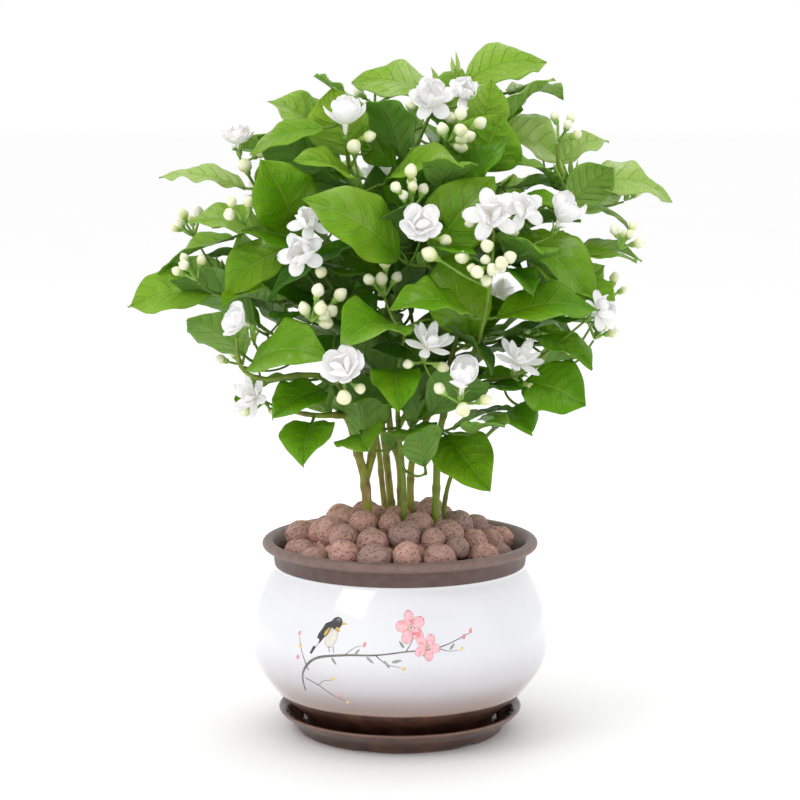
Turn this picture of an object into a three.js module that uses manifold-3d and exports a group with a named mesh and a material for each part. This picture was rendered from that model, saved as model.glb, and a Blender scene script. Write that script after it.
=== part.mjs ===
// A flowering Arabian jasmine in a squat glazed pot on a footed saucer, top dressed with fired clay balls.
// Millimetres, +Z up, +X to the right and -Y towards the front; the origin is under the middle of the saucer.
import * as THREE from "three";
import { mergeVertices } from "three/addons/utils/BufferGeometryUtils.js";
import Module from "manifold-3d";

const wasm = await Module();
wasm.setup();

// Driving dimensions
const SAUCER_R = 67.8; // the lip's outside
const SAUCER_H = 12.9;
const SAUCER_FOOT_R = 57.4;
const SAUCER_FOOT_W = 8;
const SAUCER_FOOT_H = 1.6;
const SAUCER_FEET = 6;
const SAUCER_NOTCH_W = 15; // the arch between two feet
const SAUCER_NOTCH_TURN = -19; // degrees from the front to the first arch
const SAUCER_FLOOR_Z = 4.9;
const POT_BELLY_R = 83.6;
const POT_BELLY_Z = 56;
const POT_LIP_R = 76.4;
const POT_TOP_Z = 107.6;
const POT_WALL = 4.6;
const POT_FLOOR_Z = 11.2;
const POT_BASE_Z = 7.2; // the underside of the floor, inside the foot ring
const POT_FOOT_R = 44.5; // the foot ring's inside
const DRAIN_R = 7;
const GAP = 0.3; // between pieces that touch
const SOIL_EDGE_Z = 90;
const SOIL_TOP_Z = 95;
const BED_TOP_Z = 117.5; // the middle clay balls' centres
const BED_EDGE_Z = 101.5; // the outermost balls' centres
const BED_SHOULDER_R = 44;
const BED_SHOULDER_Z = 108.5;
const BED_R = 57.5;
const BED_DOME = 3; // how full the mound of balls is: 1 is a cone
const RIM_SHARE = 0.9; // from here out the balls lie evenly, clear of the wall
const BALL_R = 7.2;
const BALL_COUNT = 58;
const ROUND = 32; // sides of the turned pieces
const ROOT_Z = 72; // the planted ends of the stems
const LEAF_T = 0.6;
const PETIOLE = 5;
const TWIG_R = 0.9;
const TUBE_STEP = 18; // between a stem's rings

const GOLDEN_ANGLE = Math.PI * (3 - Math.sqrt(5));
const UP = new THREE.Vector3(0, 0, 1);

const vec = (p) => new THREE.Vector3(...p);
// A repeatable number from 0 to 1 for the i-th of anything.
const chance = (i, salt = 0) => {
  const x = Math.sin(i * 12.9898 + salt * 78.233) * 43758.5453;
  return x - Math.floor(x);
};

const finish = (color, roughness, metalness = 0) =>
  new THREE.MeshStandardMaterial({ color, roughness, metalness });
const MATERIALS = {
  pot: finish(0xf3f2f0, 0.15),
  saucer: finish(0x4a2f26, 0.4),
  soil: finish(0x2e211b, 0.95),
  clay: finish(0x86655c, 0.9),
  bark: finish(0x6f7a35, 0.6),
  leaf: finish(0x55a01c, 0.35),
  petal: finish(0xf6f3f2, 0.55),
  bud: finish(0xeef0c4, 0.5),
};

// Solids

function toSolid(geometry) {
  const bare = geometry.clone();
  bare.deleteAttribute("normal");
  bare.deleteAttribute("uv");
  const merged = mergeVertices(bare, 1e-4);
  return new wasm.Manifold(
    new wasm.Mesh({
      numProp: 3,
      vertProperties: merged.attributes.position.array,
      triVerts: new Uint32Array(merged.index.array),
    }),
  );
}

function toGeometry(solid) {
  const made = solid.getMesh();
  const geometry = new THREE.BufferGeometry();
  geometry.setAttribute("position", new THREE.BufferAttribute(made.vertProperties, 3));
  geometry.setIndex(new THREE.BufferAttribute(made.triVerts, 1));
  return geometry;
}

const joined = (solids) => solids.reduce((whole, solid) => whole.add(solid));

// A solid turned about +Z from a profile of [radius, height] points, listed up the outside and down the inside.
function turned(profile, sides = ROUND) {
  const points = profile.map(([r, z]) => new THREE.Vector2(r, z));
  return toSolid(new THREE.LatheGeometry(points, sides).rotateX(Math.PI / 2));
}

// A closed skin over a row of rings, each with the same number of points.
function loft(rings) {
  const sides = rings[0].length;
  const corners = rings.flat();
  const faces = [];
  for (let i = 0; i < rings.length - 1; i++) {
    for (let j = 0; j < sides; j++) {
      const a = i * sides + j;
      const b = i * sides + ((j + 1) % sides);
      faces.push(a, b, b + sides, a, b + sides, a + sides);
    }
  }
  const last = (rings.length - 1) * sides;
  for (let j = 1; j < sides - 1; j++) {
    faces.push(0, j + 1, j, last, last + j, last + j + 1);
  }
  const geometry = new THREE.BufferGeometry().setFromPoints(corners);
  geometry.setIndex(faces);
  return toSolid(geometry);
}

// A round tube through the points, whose radius runs evenly from one end's to the other's.
function tube(points, fromR, toR, sides = 6) {
  const curve = new THREE.CatmullRomCurve3(points);
  const steps = Math.max(2, Math.round(curve.getLength() / TUBE_STEP));
  const { normals, binormals } = curve.computeFrenetFrames(steps);
  const rings = [];
  for (let i = 0; i <= steps; i++) {
    const centre = curve.getPointAt(i / steps);
    const radius = THREE.MathUtils.lerp(fromR, toR, i / steps);
    rings.push(
      Array.from({ length: sides }, (_, j) => {
        const turn = (2 * Math.PI * j) / sides;
        return centre
          .clone()
          .addScaledVector(normals[i], Math.cos(turn) * radius)
          .addScaledVector(binormals[i], Math.sin(turn) * radius);
      }),
    );
  }
  return loft(rings);
}

// Three axes of a piece that points along `along` and shows its upper face to `facing`.
function axesOf(along, facing) {
  const forward = along.clone().normalize();
  const up = facing.clone().addScaledVector(forward, -facing.dot(forward)).normalize();
  return { forward, up, side: forward.clone().cross(up) };
}

// Pot and saucer

function saucer() {
  const body = turned([
    [0, SAUCER_FOOT_H],
    [SAUCER_FOOT_R - SAUCER_FOOT_W, SAUCER_FOOT_H],
    [SAUCER_FOOT_R - SAUCER_FOOT_W, 0],
    [SAUCER_FOOT_R, 0],
    [SAUCER_FOOT_R + 0.9, 3],
    [SAUCER_FOOT_R + 2.2, 5],
    [62.6, 7.2],
    [65.6, 9.6],
    [SAUCER_R - 0.6, SAUCER_H - 1.7],
    [SAUCER_R, SAUCER_H - 0.8],
    [SAUCER_R - 0.8, SAUCER_H],
    [SAUCER_R - 2.2, SAUCER_H - 0.3],
    [63.6, 10.9],
    [59.5, 7.7],
    [56, 5.7],
    [52.6, SAUCER_FLOOR_Z],
    [0, SAUCER_FLOOR_Z],
  ]);
  const notches = Array.from({ length: SAUCER_FEET }, (_, i) => {
    const half = SAUCER_NOTCH_W / 2;
    const arch = new THREE.CylinderGeometry(half, half, 24, 12);
    arch.scale(1, 1, (SAUCER_FOOT_H - 0.1) / half).translate(0, -SAUCER_FOOT_R, 0);
    const turn = SAUCER_NOTCH_TURN + (360 / SAUCER_FEET) * i;
    return toSolid(arch.rotateZ(THREE.MathUtils.degToRad(turn)));
  });
  return notches.reduce((rest, notch) => rest.subtract(notch), body);
}

// The pot's outside, from the foot up to the lip, then its inside down to the floor.
const POT_OUTSIDE = [
  [50.5, SAUCER_FLOOR_Z + GAP],
  [51.6, 6.5],
  [54.8, 10.5],
  [60.6, 16],
  [67, 21],
  [73.2, 28],
  [79, 36.5],
  [82.6, 46],
  [POT_BELLY_R, POT_BELLY_Z],
  [82.2, 66],
  [78.3, 76.5],
  [72.9, 86.5],
  [68.9, 92.6],
  [69.6, 93.6],
  [70.2, 97.5],
  [71.8, 101.4],
  [75.4, 103.2],
  [POT_LIP_R, 105.2],
  [75.2, 107],
  [73.4, POT_TOP_Z],
];
const POT_INSIDE = [
  [70.6, 106.6],
  [66.2, 98.5],
  [65.2, 93.6],
  [73.8, 76],
  [POT_BELLY_R - POT_WALL, POT_BELLY_Z],
  [74.6, 37.8],
  [62, 23.2],
  [45, POT_FLOOR_Z],
];

function pot() {
  return turned([
    ...POT_OUTSIDE,
    ...POT_INSIDE,
    [DRAIN_R, POT_FLOOR_Z],
    [DRAIN_R, POT_BASE_Z],
    [POT_FOOT_R, POT_BASE_Z],
    [POT_FOOT_R, SAUCER_FLOOR_Z + GAP],
    POT_OUTSIDE[0],
  ]);
}

// The soil fills the pot's inside up to where the clay balls begin.
function soil(stemsToClear) {
  const wall = POT_INSIDE.filter(([, z]) => z < SOIL_EDGE_Z && z > POT_FLOOR_Z);
  const body = turned([
    [0, POT_FLOOR_Z + GAP],
    [44.6, POT_FLOOR_Z + GAP],
    ...wall.reverse().map(([r, z]) => [r - 1.5 * GAP, z + GAP]),
    [66, SOIL_EDGE_Z],
    [0, SOIL_TOP_Z],
  ]);
  return stemsToClear.reduce((rest, stem) => rest.subtract(stem), body);
}

// The place of the i-th clay ball: a sunflower spiral, lifted to a low mound and shaken a little.
function ballPlace(i) {
  const share = Math.sqrt((i + 0.5) / BALL_COUNT);
  const turn = i * GOLDEN_ANGLE;
  const inner = share < RIM_SHARE;
  const out = BED_R * share + (inner ? 3 * (chance(i) - 0.5) : 0);
  const lift = THREE.MathUtils.lerp(BED_TOP_Z, BED_EDGE_Z, share ** BED_DOME);
  const shake = (inner ? 5 : 2) * (chance(i, 1) - 0.5);
  return new THREE.Vector3(out * Math.cos(turn), out * Math.sin(turn), lift + shake);
}

function clayBalls(stemsToClear) {
  const layer = turned([
    [0, SOIL_TOP_Z + GAP],
    [63.4, SOIL_EDGE_Z + 3 * GAP],
    [64, BED_EDGE_Z - 5],
    [60, BED_EDGE_Z - 1],
    [BED_SHOULDER_R, BED_SHOULDER_Z],
    [0, BED_TOP_Z],
  ], 24);
  const balls = Array.from({ length: BALL_COUNT }, (_, i) => {
    const radius = BALL_R * (0.86 + 0.2 * chance(i, 2));
    const ball = new THREE.IcosahedronGeometry(radius, 0);
    ball.rotateX(7 * chance(i, 3)).rotateY(7 * chance(i, 4));
    return toSolid(ball.translate(...ballPlace(i)));
  });
  return stemsToClear.reduce((rest, stem) => rest.subtract(stem), joined([layer, ...balls]));
}

// Stems. Each starts in the soil; its first path is the trunk and the others fork from it.

const STEMS = {
  stem_left: {
    radius: 3.3,
    paths: [
      [[-17, -8, ROOT_Z], [-17, -8, 100], [-19, -9, 138], [-23, -11, 156], [-28, -16, 178],
        [-31, -30, 194], [-38, -44, 202], [-54, -50, 204], [-72, -50, 202], [-84, -48, 208],
        [-87, -42, 224]],
      [[-19, -9, 140], [-15, -5, 160], [-17, -2, 190], [-26, -6, 225], [-42, -10, 256],
        [-56, -16, 277]],
      [[-28, -16, 178], [-36, -30, 180], [-46, -38, 181], [-62, -40, 184]],
    ],
  },
  stem_thin_left: {
    radius: 1.8,
    paths: [
      [[-7, 12, ROOT_Z], [-7, 12, 100], [-10, 13, 135], [-14, 15, 165], [-27, 18, 205],
        [-48, 20, 248], [-66, 18, 280], [-78, 16, 298], [-85, 13, 310]],
      [[-48, 20, 248], [-72, 14, 250], [-94, 8, 246]],
    ],
  },
  stem_centre: {
    radius: 2.3,
    paths: [
      [[0, 2, ROOT_Z], [0, 2, 100], [0, 2, 145], [-5, 5, 165], [-8, 8, 205], [-5, 8, 255],
        [4, 6, 305], [14, 6, 335], [26, 8, 356]],
      [[-5, 8, 255], [-14, -4, 282], [-20, -10, 298], [-27, -10, 312]],
    ],
  },
  stem_twin: {
    radius: 2.2,
    paths: [
      [[7, -4, ROOT_Z], [7, -4, 100], [6, -4, 145], [12, -6, 168], [24, -8, 195], [33, -10, 230],
        [38, -12, 268], [39, -10, 304], [48, 12, 332]],
      [[38, -12, 268], [60, -4, 280], [78, 6, 290], [94, 8, 302]],
      [[33, -10, 230], [26, -28, 248], [14, -42, 262]],
    ],
  },
  stem_right: {
    radius: 2.5,
    paths: [
      [[19, -14, ROOT_Z], [19, -14, 100], [20, -14, 140], [21, -16, 165], [27, -28, 190],
        [38, -50, 214], [43, -69, 234], [46, -75, 252], [48, -69, 270]],
      [[27, -28, 190], [44, -42, 199], [60, -50, 203]],
    ],
  },
  stem_front: {
    radius: 1.9,
    paths: [
      [[2, -16, ROOT_Z], [2, -16, 100], [2, -19, 140], [-1, -30, 175], [-1, -48, 205],
        [3, -58, 228]],
    ],
  },
  stem_rear: {
    radius: 2.6,
    paths: [
      [[-3, 20, ROOT_Z], [-3, 20, 100], [-8, 27, 150], [-14, 40, 195], [-14, 52, 235],
        [-10, 56, 268]],
      [[-8, 27, 150], [10, 40, 188], [18, 50, 230], [30, 46, 282]],
      [[10, 40, 188], [28, 42, 205], [46, 40, 214]],
    ],
  },
  stem_young_right: {
    radius: 1.5,
    paths: [[[23, 8, ROOT_Z], [23, 8, 105], [29, 14, 140], [50, 18, 163], [64, 16, 175], [76, 12, 188]]],
  },
};

// Leaves: where the stalk leaves the stem, the tip, the blade's width and the way its upper face looks.
// The last number is how high the blade arches, as a share of its length.
const LEAVES = {
  leaf_crown_right: [[30, 8, 357], [81, 28, 369], 32, [0, -0.65, 0.76], 0.08],
  leaf_crown_left: [[22, 8, 352], [-27, 24, 360], 30, [0, -0.65, 0.76], 0.08],
  leaf_tall_left: [[-27, -9, 314], [-35, -12, 355], 36, [-0.3, -0.9, 0.2], 0.06],
  leaf_shoulder_left: [[-20, -18, 300], [-54, -50, 318], 30, [-0.1, -0.6, 0.8], 0.12],
  leaf_broad_left: [[4, -46, 262], [-49, -78, 298], 38, [-0.15, -0.8, 0.6], 0.1],
  leaf_shoulder_right: [[-12, -14, 302], [30, -52, 315], 30, [0.05, -0.65, 0.75], 0.12],
  leaf_broad_right: [[16, -42, 263], [48, -56, 308], 36, [0.2, -0.8, 0.5], 0.08],
  leaf_upper_right: [[40, -9, 304], [54, -16, 341], 38, [0.1, -0.9, 0.3], 0.08],
  leaf_arched_right: [[49, 14, 333], [95, 42, 306], 38, [0.25, -0.6, 0.75], 0.14],
  leaf_small_right: [[91, 6, 301], [63, -24, 314], 22, [0, -0.5, 0.85], 0.08],
  leaf_far_right: [[96, 9, 303], [152, 22, 294], 34, [0.1, -0.5, 0.85], 0.14],
  leaf_mid_right: [[79, 8, 290], [130, 34, 280], 28, [0.05, -0.3, 0.95], 0.1],
  leaf_far_left: [[-79, 16, 300], [-134, 24, 307], 26, [-0.1, -0.3, 0.95], 0.08],
  leaf_bright_left: [[-57, -17, 278], [-71, -54, 316], 36, [-0.15, -0.8, 0.55], 0.06],
  leaf_side_left: [[-56, -14, 272], [-96, -24, 244], 30, [-0.3, -0.8, 0.5], 0.08],
  leaf_lowest_tip_left: [[-95, 8, 247], [-151, 14, 235], 32, [-0.1, -0.7, 0.7], 0.14],
  leaf_front_left: [[-84, -50, 209], [-38, -88, 219], 36, [-0.05, -0.7, 0.7], 0.12],
  leaf_front_centre: [[3, -59, 229], [-29, -102, 228], 38, [-0.1, -0.65, 0.75], 0.16],
  leaf_arched_front: [[41, -71, 235], [-5, -92, 244], 32, [0, -0.4, 0.92], 0.18],
  leaf_long_right: [[45, -70, 235], [104, -60, 240], 34, [0, -0.45, 0.9], 0.14],
  leaf_upright_right: [[38, -52, 218], [26, -56, 272], 34, [-0.2, -0.9, 0.3], 0.05],
  leaf_hanging_right: [[60, -6, 280], [106, -42, 238], 36, [0.35, -0.75, 0.5], 0.14],
  leaf_under_left: [[-36, -47, 198], [-66, -80, 186], 26, [0, -0.55, 0.8], 0.08],
  leaf_glossy_front: [[0, -50, 207], [0, -102, 193], 26, [0, -0.6, 0.8], 0.14],
  leaf_low_right: [[60, -51, 203], [96, -72, 190], 36, [0.15, -0.8, 0.6], 0.1],
  leaf_lowest_right: [[22, -20, 172], [46, -62, 146], 32, [0.1, -0.9, 0.4], 0.06],
  leaf_lowest_left: [[-45, -39, 181], [-51, -78, 162], 30, [-0.2, -0.85, 0.5], 0.14],
  leaf_rear_low: [[-14, 41, 197], [-48, 100, 206], 36, [-0.2, 0.5, 0.85], 0.14],
  leaf_rear_mid: [[18, 51, 232], [34, 108, 238], 34, [0.1, 0.6, 0.8], 0.12],
  leaf_rear_high: [[-10, 57, 268], [-52, 100, 284], 36, [-0.2, 0.6, 0.78], 0.1],
  leaf_rear_top: [[30, 47, 282], [72, 92, 298], 34, [0.2, 0.6, 0.78], 0.1],
  leaf_rear_right: [[46, 41, 214], [98, 80, 204], 34, [0.3, 0.5, 0.8], 0.14],
};

// Open flowers: the middle of the flower, the way it faces and its width.
const FLOWERS = {
  flower_crown: [[17, -12, 349], [-0.1, -0.8, 0.5], 27],
  flower_upper_left: [[-29, -32, 338], [0, -0.3, 0.95], 25],
  flower_far_left: [[-89, 10, 327], [-0.1, -0.2, 0.97], 20],
  flower_left: [[-51, -66, 269], [-0.1, -0.93, 0.3], 26],
  flower_centre: [[11, -78, 285], [0, -0.85, 0.5], 23],
  flower_right: [[47, -77, 290], [-0.1, -0.93, 0.3], 27],
  flower_front_left: [[-29, -99, 214], [-0.1, -0.85, 0.5], 25],
  flower_front_centre: [[15, -84, 224], [0.25, -0.6, 0.75], 26],
  flower_front_right: [[32, -92, 206], [0.1, -0.4, 0.9], 25],
  flower_low_right: [[62, -66, 214], [0.25, -0.6, 0.75], 26],
  flower_low_left: [[-79, -44, 192], [-0.5, -0.8, 0.3], 24],
};

// Bud clusters: the top of the stalk, the way it points, and how many buds it has.
const CYMES = {
  buds_crown: [[32, -34, 322], [0, -0.2, 0.98], 4],
  buds_centre: [[6, -60, 293], [0, -0.2, 0.98], 3],
  buds_front_right: [[44, -84, 254], [0, -0.1, 1], 6],
  buds_inner: [[-8, -48, 246], [0, -0.3, 0.95], 3],
  buds_front_left: [[-38, -70, 232], [-0.2, -0.2, 0.95], 4],
};
const CALYX = 9; // from the end of a flower's stalk to its middle
const PEDICEL = 11;
const BUD_R = 3.9;

// The nearest place on any path for something that grows out to `target`, which is best not below it.
function nearestOnStems(target) {
  let best = null;
  for (const [stem, { paths, radius }] of Object.entries(STEMS)) {
    paths.forEach((path, index) => {
      const curve = new THREE.CatmullRomCurve3(path.map(vec));
      for (let i = 0; i <= 60; i++) {
        const point = curve.getPointAt(i / 60);
        const climb = target.z - point.z;
        const cost = point.distanceTo(target) + (climb < 0 ? -climb : 0);
        const startR = index ? 0.6 * radius : radius;
        const r = THREE.MathUtils.lerp(startR, TWIG_R, i / 60);
        if (point.z > POT_TOP_Z && (!best || cost < best.cost)) best = { cost, point, stem, r };
      }
    });
  }
  return best;
}

// Twigs carry the organs that don't sit on a path. They are part of their stem.
const TWIGS = Object.fromEntries(Object.keys(STEMS).map((name) => [name, []]));

// The point where an organ starts, just off the stem, after growing a twig to it if the stem passes far away.
function seat(base, towards) {
  const near = nearestOnStems(base);
  const reach = near.point.distanceTo(base);
  if (reach < near.r + 2.5) {
    return near.point.clone().addScaledVector(towards, near.r + 2 * GAP + 0.4);
  }
  const middle = near.point.clone().lerp(base, 0.5);
  middle.z -= 0.06 * reach;
  const inside = near.point.clone().addScaledVector(base.clone().sub(near.point).normalize(), -near.r / 2);
  TWIGS[near.stem].push([inside, middle, base]);
  return base.clone().addScaledVector(towards, TWIG_R + 2 * GAP);
}

// A leaf blade on its stalk. `stations` are [share of the length, share of the half width].
const LEAF_STATIONS = [
  [0, 0.07],
  [0.14, 0.62],
  [0.34, 0.98],
  [0.54, 0.95],
  [0.74, 0.66],
  [0.9, 0.25],
  [1, 0.03],
];

function leaf([base, tip, width, facing, arch]) {
  const towards = vec(tip).sub(vec(base)).normalize();
  const start = seat(vec(base), towards);
  const { forward, up, side } = axesOf(vec(tip).sub(start), vec(facing));
  const bladeStart = start.clone().addScaledVector(forward, PETIOLE).addScaledVector(up, 0.8);
  const length = vec(tip).distanceTo(bladeStart);
  const ring = (centre, half, rise) => {
    const at = (x, z) => centre.clone().addScaledVector(side, x).addScaledVector(up, z);
    const t = LEAF_T / 2;
    return [at(0, t), at(half, rise + t), at(half, rise - t), at(0, -t),
      at(-half, rise - t), at(-half, rise + t)];
  };
  const rings = [ring(start, 0.6, 0)];
  for (const [s, w] of LEAF_STATIONS) {
    const centre = bladeStart
      .clone()
      .lerp(vec(tip), s)
      .addScaledVector(up, arch * length * Math.sin(Math.PI * s));
    rings.push(ring(centre, Math.max(0.7, (w * width) / 2), 0.18 * w * (width / 2)));
  }
  return loft(rings);
}

// A double flower: a globe of inner petals on a whorl of spread ones, with its tube and stalk.
// Each row is the height over the middle, the radius between two petals and the radius along a petal, as shares
// of the flower's width.
const FLOWER_ROWS = [
  [-0.2, 0.08, 0.08],
  [-0.05, 0.14, 0.2],
  [0.05, 0.3, 0.5],
  [0.09, 0.27, 0.47],
  [0.12, 0.22, 0.27],
  [0.3, 0.2, 0.24],
  [0.4, 0.1, 0.13],
];
const PETALS = 6;

function flower([middle, facing, width]) {
  const { forward, up, side } = axesOf(vec(facing), UP);
  const centre = vec(middle);
  const start = seat(centre.clone().addScaledVector(forward, -CALYX - 4), forward);
  const ring = (at, between, along) =>
    Array.from({ length: 2 * PETALS }, (_, j) => {
      const turn = (Math.PI * j) / PETALS;
      const radius = j % 2 ? along : between;
      return at
        .clone()
        .addScaledVector(up, Math.cos(turn) * radius)
        .addScaledVector(side, Math.sin(turn) * radius);
    });
  const rings = FLOWER_ROWS.map(([height, between, along]) =>
    ring(centre.clone().addScaledVector(forward, height * width), between * width, along * width),
  );
  return loft([ring(start, 0.8, 0.8), ...rings]);
}

// The middles of a cluster's buds: one on top and the others around and below it.
function budPlaces(top, axes, count) {
  return Array.from({ length: count }, (_, i) => {
    const turn = (2 * Math.PI * (i - 0.25)) / (count - 1);
    const spread = i ? PEDICEL * (0.75 + 0.15 * (i % 2)) : 0;
    const height = i ? PEDICEL * (0.55 + 0.3 * (i % 2)) : PEDICEL * 1.3;
    return top
      .clone()
      .addScaledVector(axes.forward, height)
      .addScaledVector(axes.side, spread * Math.cos(turn))
      .addScaledVector(axes.up, spread * Math.sin(turn));
  });
}

// A bud and its stalk in one: shares of the way from the cluster's middle to the bud's, and radii as shares of
// the bud's.
const BUD_ROWS = [
  [0, 0.2],
  [0.62, 0.26],
  [0.8, 0.8],
  [1.05, 1],
  [1.32, 0.62],
  [1.5, 0.12],
];

function cyme([top, pointing, count]) {
  const axes = axesOf(vec(pointing), new THREE.Vector3(0, -1, 0));
  const start = seat(vec(top), axes.forward);
  const buds = budPlaces(start, axes, count).map((middle, i) => {
    const radius = BUD_R * (i ? 0.88 : 1);
    const { up, side } = axesOf(middle.clone().sub(start), axes.up);
    const rings = BUD_ROWS.map(([share, r]) =>
      Array.from({ length: 6 }, (_, j) => {
        const turn = (Math.PI * j) / 3;
        return start
          .clone()
          .lerp(middle, share)
          .addScaledVector(up, Math.cos(turn) * radius * r)
          .addScaledVector(side, Math.sin(turn) * radius * r);
      }),
    );
    return loft(rings);
  });
  return joined(buds);
}

// One stem with its forks and twigs. `clearance` is what the soil and the balls leave around it.
function stem(name, clearance = 0) {
  const { radius, paths } = STEMS[name];
  const tubes = paths.map((path, i) => {
    const startR = (i ? 0.6 : 1) * radius;
    return tube(path.map(vec), startR + clearance, TWIG_R + clearance, i ? 5 : 6);
  });
  const twigs = TWIGS[name].map((path) => tube(path, TWIG_R + clearance, 0.8 * TWIG_R + clearance, 4));
  return joined([...tubes, ...twigs]);
}

const solids = [];
const add = (name, solid, material) => solids.push({ name, solid, material });

const organs = [
  [LEAVES, leaf, MATERIALS.leaf],
  [FLOWERS, flower, MATERIALS.petal],
  [CYMES, cyme, MATERIALS.bud],
];
for (const [rows, build, material] of organs) {
  for (const [name, row] of Object.entries(rows)) add(name, build(row), material);
}
const stemNames = Object.keys(STEMS);
for (const name of stemNames) add(name, stem(name), MATERIALS.bark);
const clearings = stemNames.map((name) => stem(name, 1.5 * GAP));
add("saucer", saucer(), MATERIALS.saucer);
add("pot", pot(), MATERIALS.pot);
add("soil", soil(clearings), MATERIALS.soil);
add("clay_balls", clayBalls(clearings), MATERIALS.clay);

const pottedJasmine = new THREE.Group();
for (const { name, solid, material } of solids) {
  const mesh = new THREE.Mesh(toGeometry(solid), material);
  mesh.name = name;
  pottedJasmine.add(mesh);
}

export default pottedJasmine;
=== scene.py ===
import math

import bmesh
import bpy
import numpy as np
from mathutils.bvhtree import BVHTree
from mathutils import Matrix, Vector


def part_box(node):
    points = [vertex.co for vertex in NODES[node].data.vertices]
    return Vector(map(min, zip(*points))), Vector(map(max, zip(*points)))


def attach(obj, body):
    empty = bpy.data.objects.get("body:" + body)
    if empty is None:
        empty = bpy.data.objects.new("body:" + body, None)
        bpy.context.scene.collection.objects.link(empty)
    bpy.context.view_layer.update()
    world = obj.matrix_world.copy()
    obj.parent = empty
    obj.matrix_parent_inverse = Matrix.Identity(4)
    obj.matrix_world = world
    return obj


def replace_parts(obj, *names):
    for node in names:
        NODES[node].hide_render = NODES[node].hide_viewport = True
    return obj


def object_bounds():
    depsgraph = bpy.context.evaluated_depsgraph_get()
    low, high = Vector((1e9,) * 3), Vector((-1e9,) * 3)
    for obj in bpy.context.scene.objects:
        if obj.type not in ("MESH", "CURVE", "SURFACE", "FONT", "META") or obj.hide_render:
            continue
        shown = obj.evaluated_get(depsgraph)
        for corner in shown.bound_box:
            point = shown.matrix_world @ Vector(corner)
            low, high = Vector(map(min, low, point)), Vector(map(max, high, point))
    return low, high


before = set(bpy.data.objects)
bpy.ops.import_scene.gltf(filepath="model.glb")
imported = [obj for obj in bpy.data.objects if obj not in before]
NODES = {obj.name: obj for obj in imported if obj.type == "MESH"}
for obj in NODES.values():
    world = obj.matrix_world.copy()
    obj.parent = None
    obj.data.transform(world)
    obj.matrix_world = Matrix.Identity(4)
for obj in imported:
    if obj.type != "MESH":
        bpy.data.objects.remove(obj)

CAD_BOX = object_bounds()
MM = 0.001
rng = np.random.default_rng(20)
UP = np.array([0.0, 0.0, 1.0])
GOLDEN_ANGLE = math.pi * (3 - math.sqrt(5))
LEAF_NODES = sorted(n for n in NODES if n.startswith("leaf_"))
FLOWER_NODES = sorted(n for n in NODES if n.startswith("flower_"))
BUD_NODES = sorted(n for n in NODES if n.startswith("buds_"))
STEM_NODES = sorted(n for n in NODES if n.startswith("stem_"))

# ---------------------------------------------------------------- camera, light and floor

CAMERA_DISTANCE = 1204
CAMERA_HEIGHT = 340
CAMERA_PITCH = 7.37  # degrees below the horizon
CAMERA_LENS = 99
LIT_POINT = (0, 0, 0.2)  # where every softbox is aimed

camera = bpy.data.objects.new("camera", bpy.data.cameras.new("camera"))
camera.data.lens = CAMERA_LENS
camera.data.sensor_width = 36
camera.location = (0, -CAMERA_DISTANCE * MM, CAMERA_HEIGHT * MM)
camera.rotation_euler = (math.radians(90 - CAMERA_PITCH), 0, 0)
bpy.context.scene.collection.objects.link(camera)
bpy.context.scene.camera = camera


def softbox(name, place, size, watts):
    """A rectangular area light."""
    data = bpy.data.lights.new(name, "AREA")
    data.shape = "RECTANGLE"
    data.size, data.size_y = size
    data.energy = watts
    light = bpy.data.objects.new(name, data)
    light.location = place
    aim = Vector(LIT_POINT) - Vector(place)
    light.rotation_euler = aim.to_track_quat("-Z", "Y").to_euler()
    bpy.context.scene.collection.objects.link(light)


softbox("key", (-1.0, -0.9, 1.6), (0.8, 0.8), 7)
softbox("fill", (1.5, -1.3, 0.7), (1.2, 1.2), 0.6)
softbox("back", (0.7, 1.4, 1.5), (1.2, 1.0), 3.5)
softbox("top", (0, 0.1, 1.9), (1.0, 1.0), 5)

world = bpy.data.worlds.new("studio")
bpy.context.scene.world = world
world.use_nodes = True
world.node_tree.nodes["Background"].inputs["Color"].default_value = (1, 1, 1, 1)
world.node_tree.nodes["Background"].inputs["Strength"].default_value = 1.0
bpy.context.scene.view_settings.view_transform = "Standard"

# ---------------------------------------------------------------- material graphs


def linear(r, g, b):
    """An sRGB colour, 0 to 255, as the linear RGBA that shaders take."""
    share = [c / 255 for c in (r, g, b)]
    return (*[c / 12.92 if c <= 0.04045 else ((c + 0.055) / 1.055) ** 2.4 for c in share], 1.0)


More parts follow.
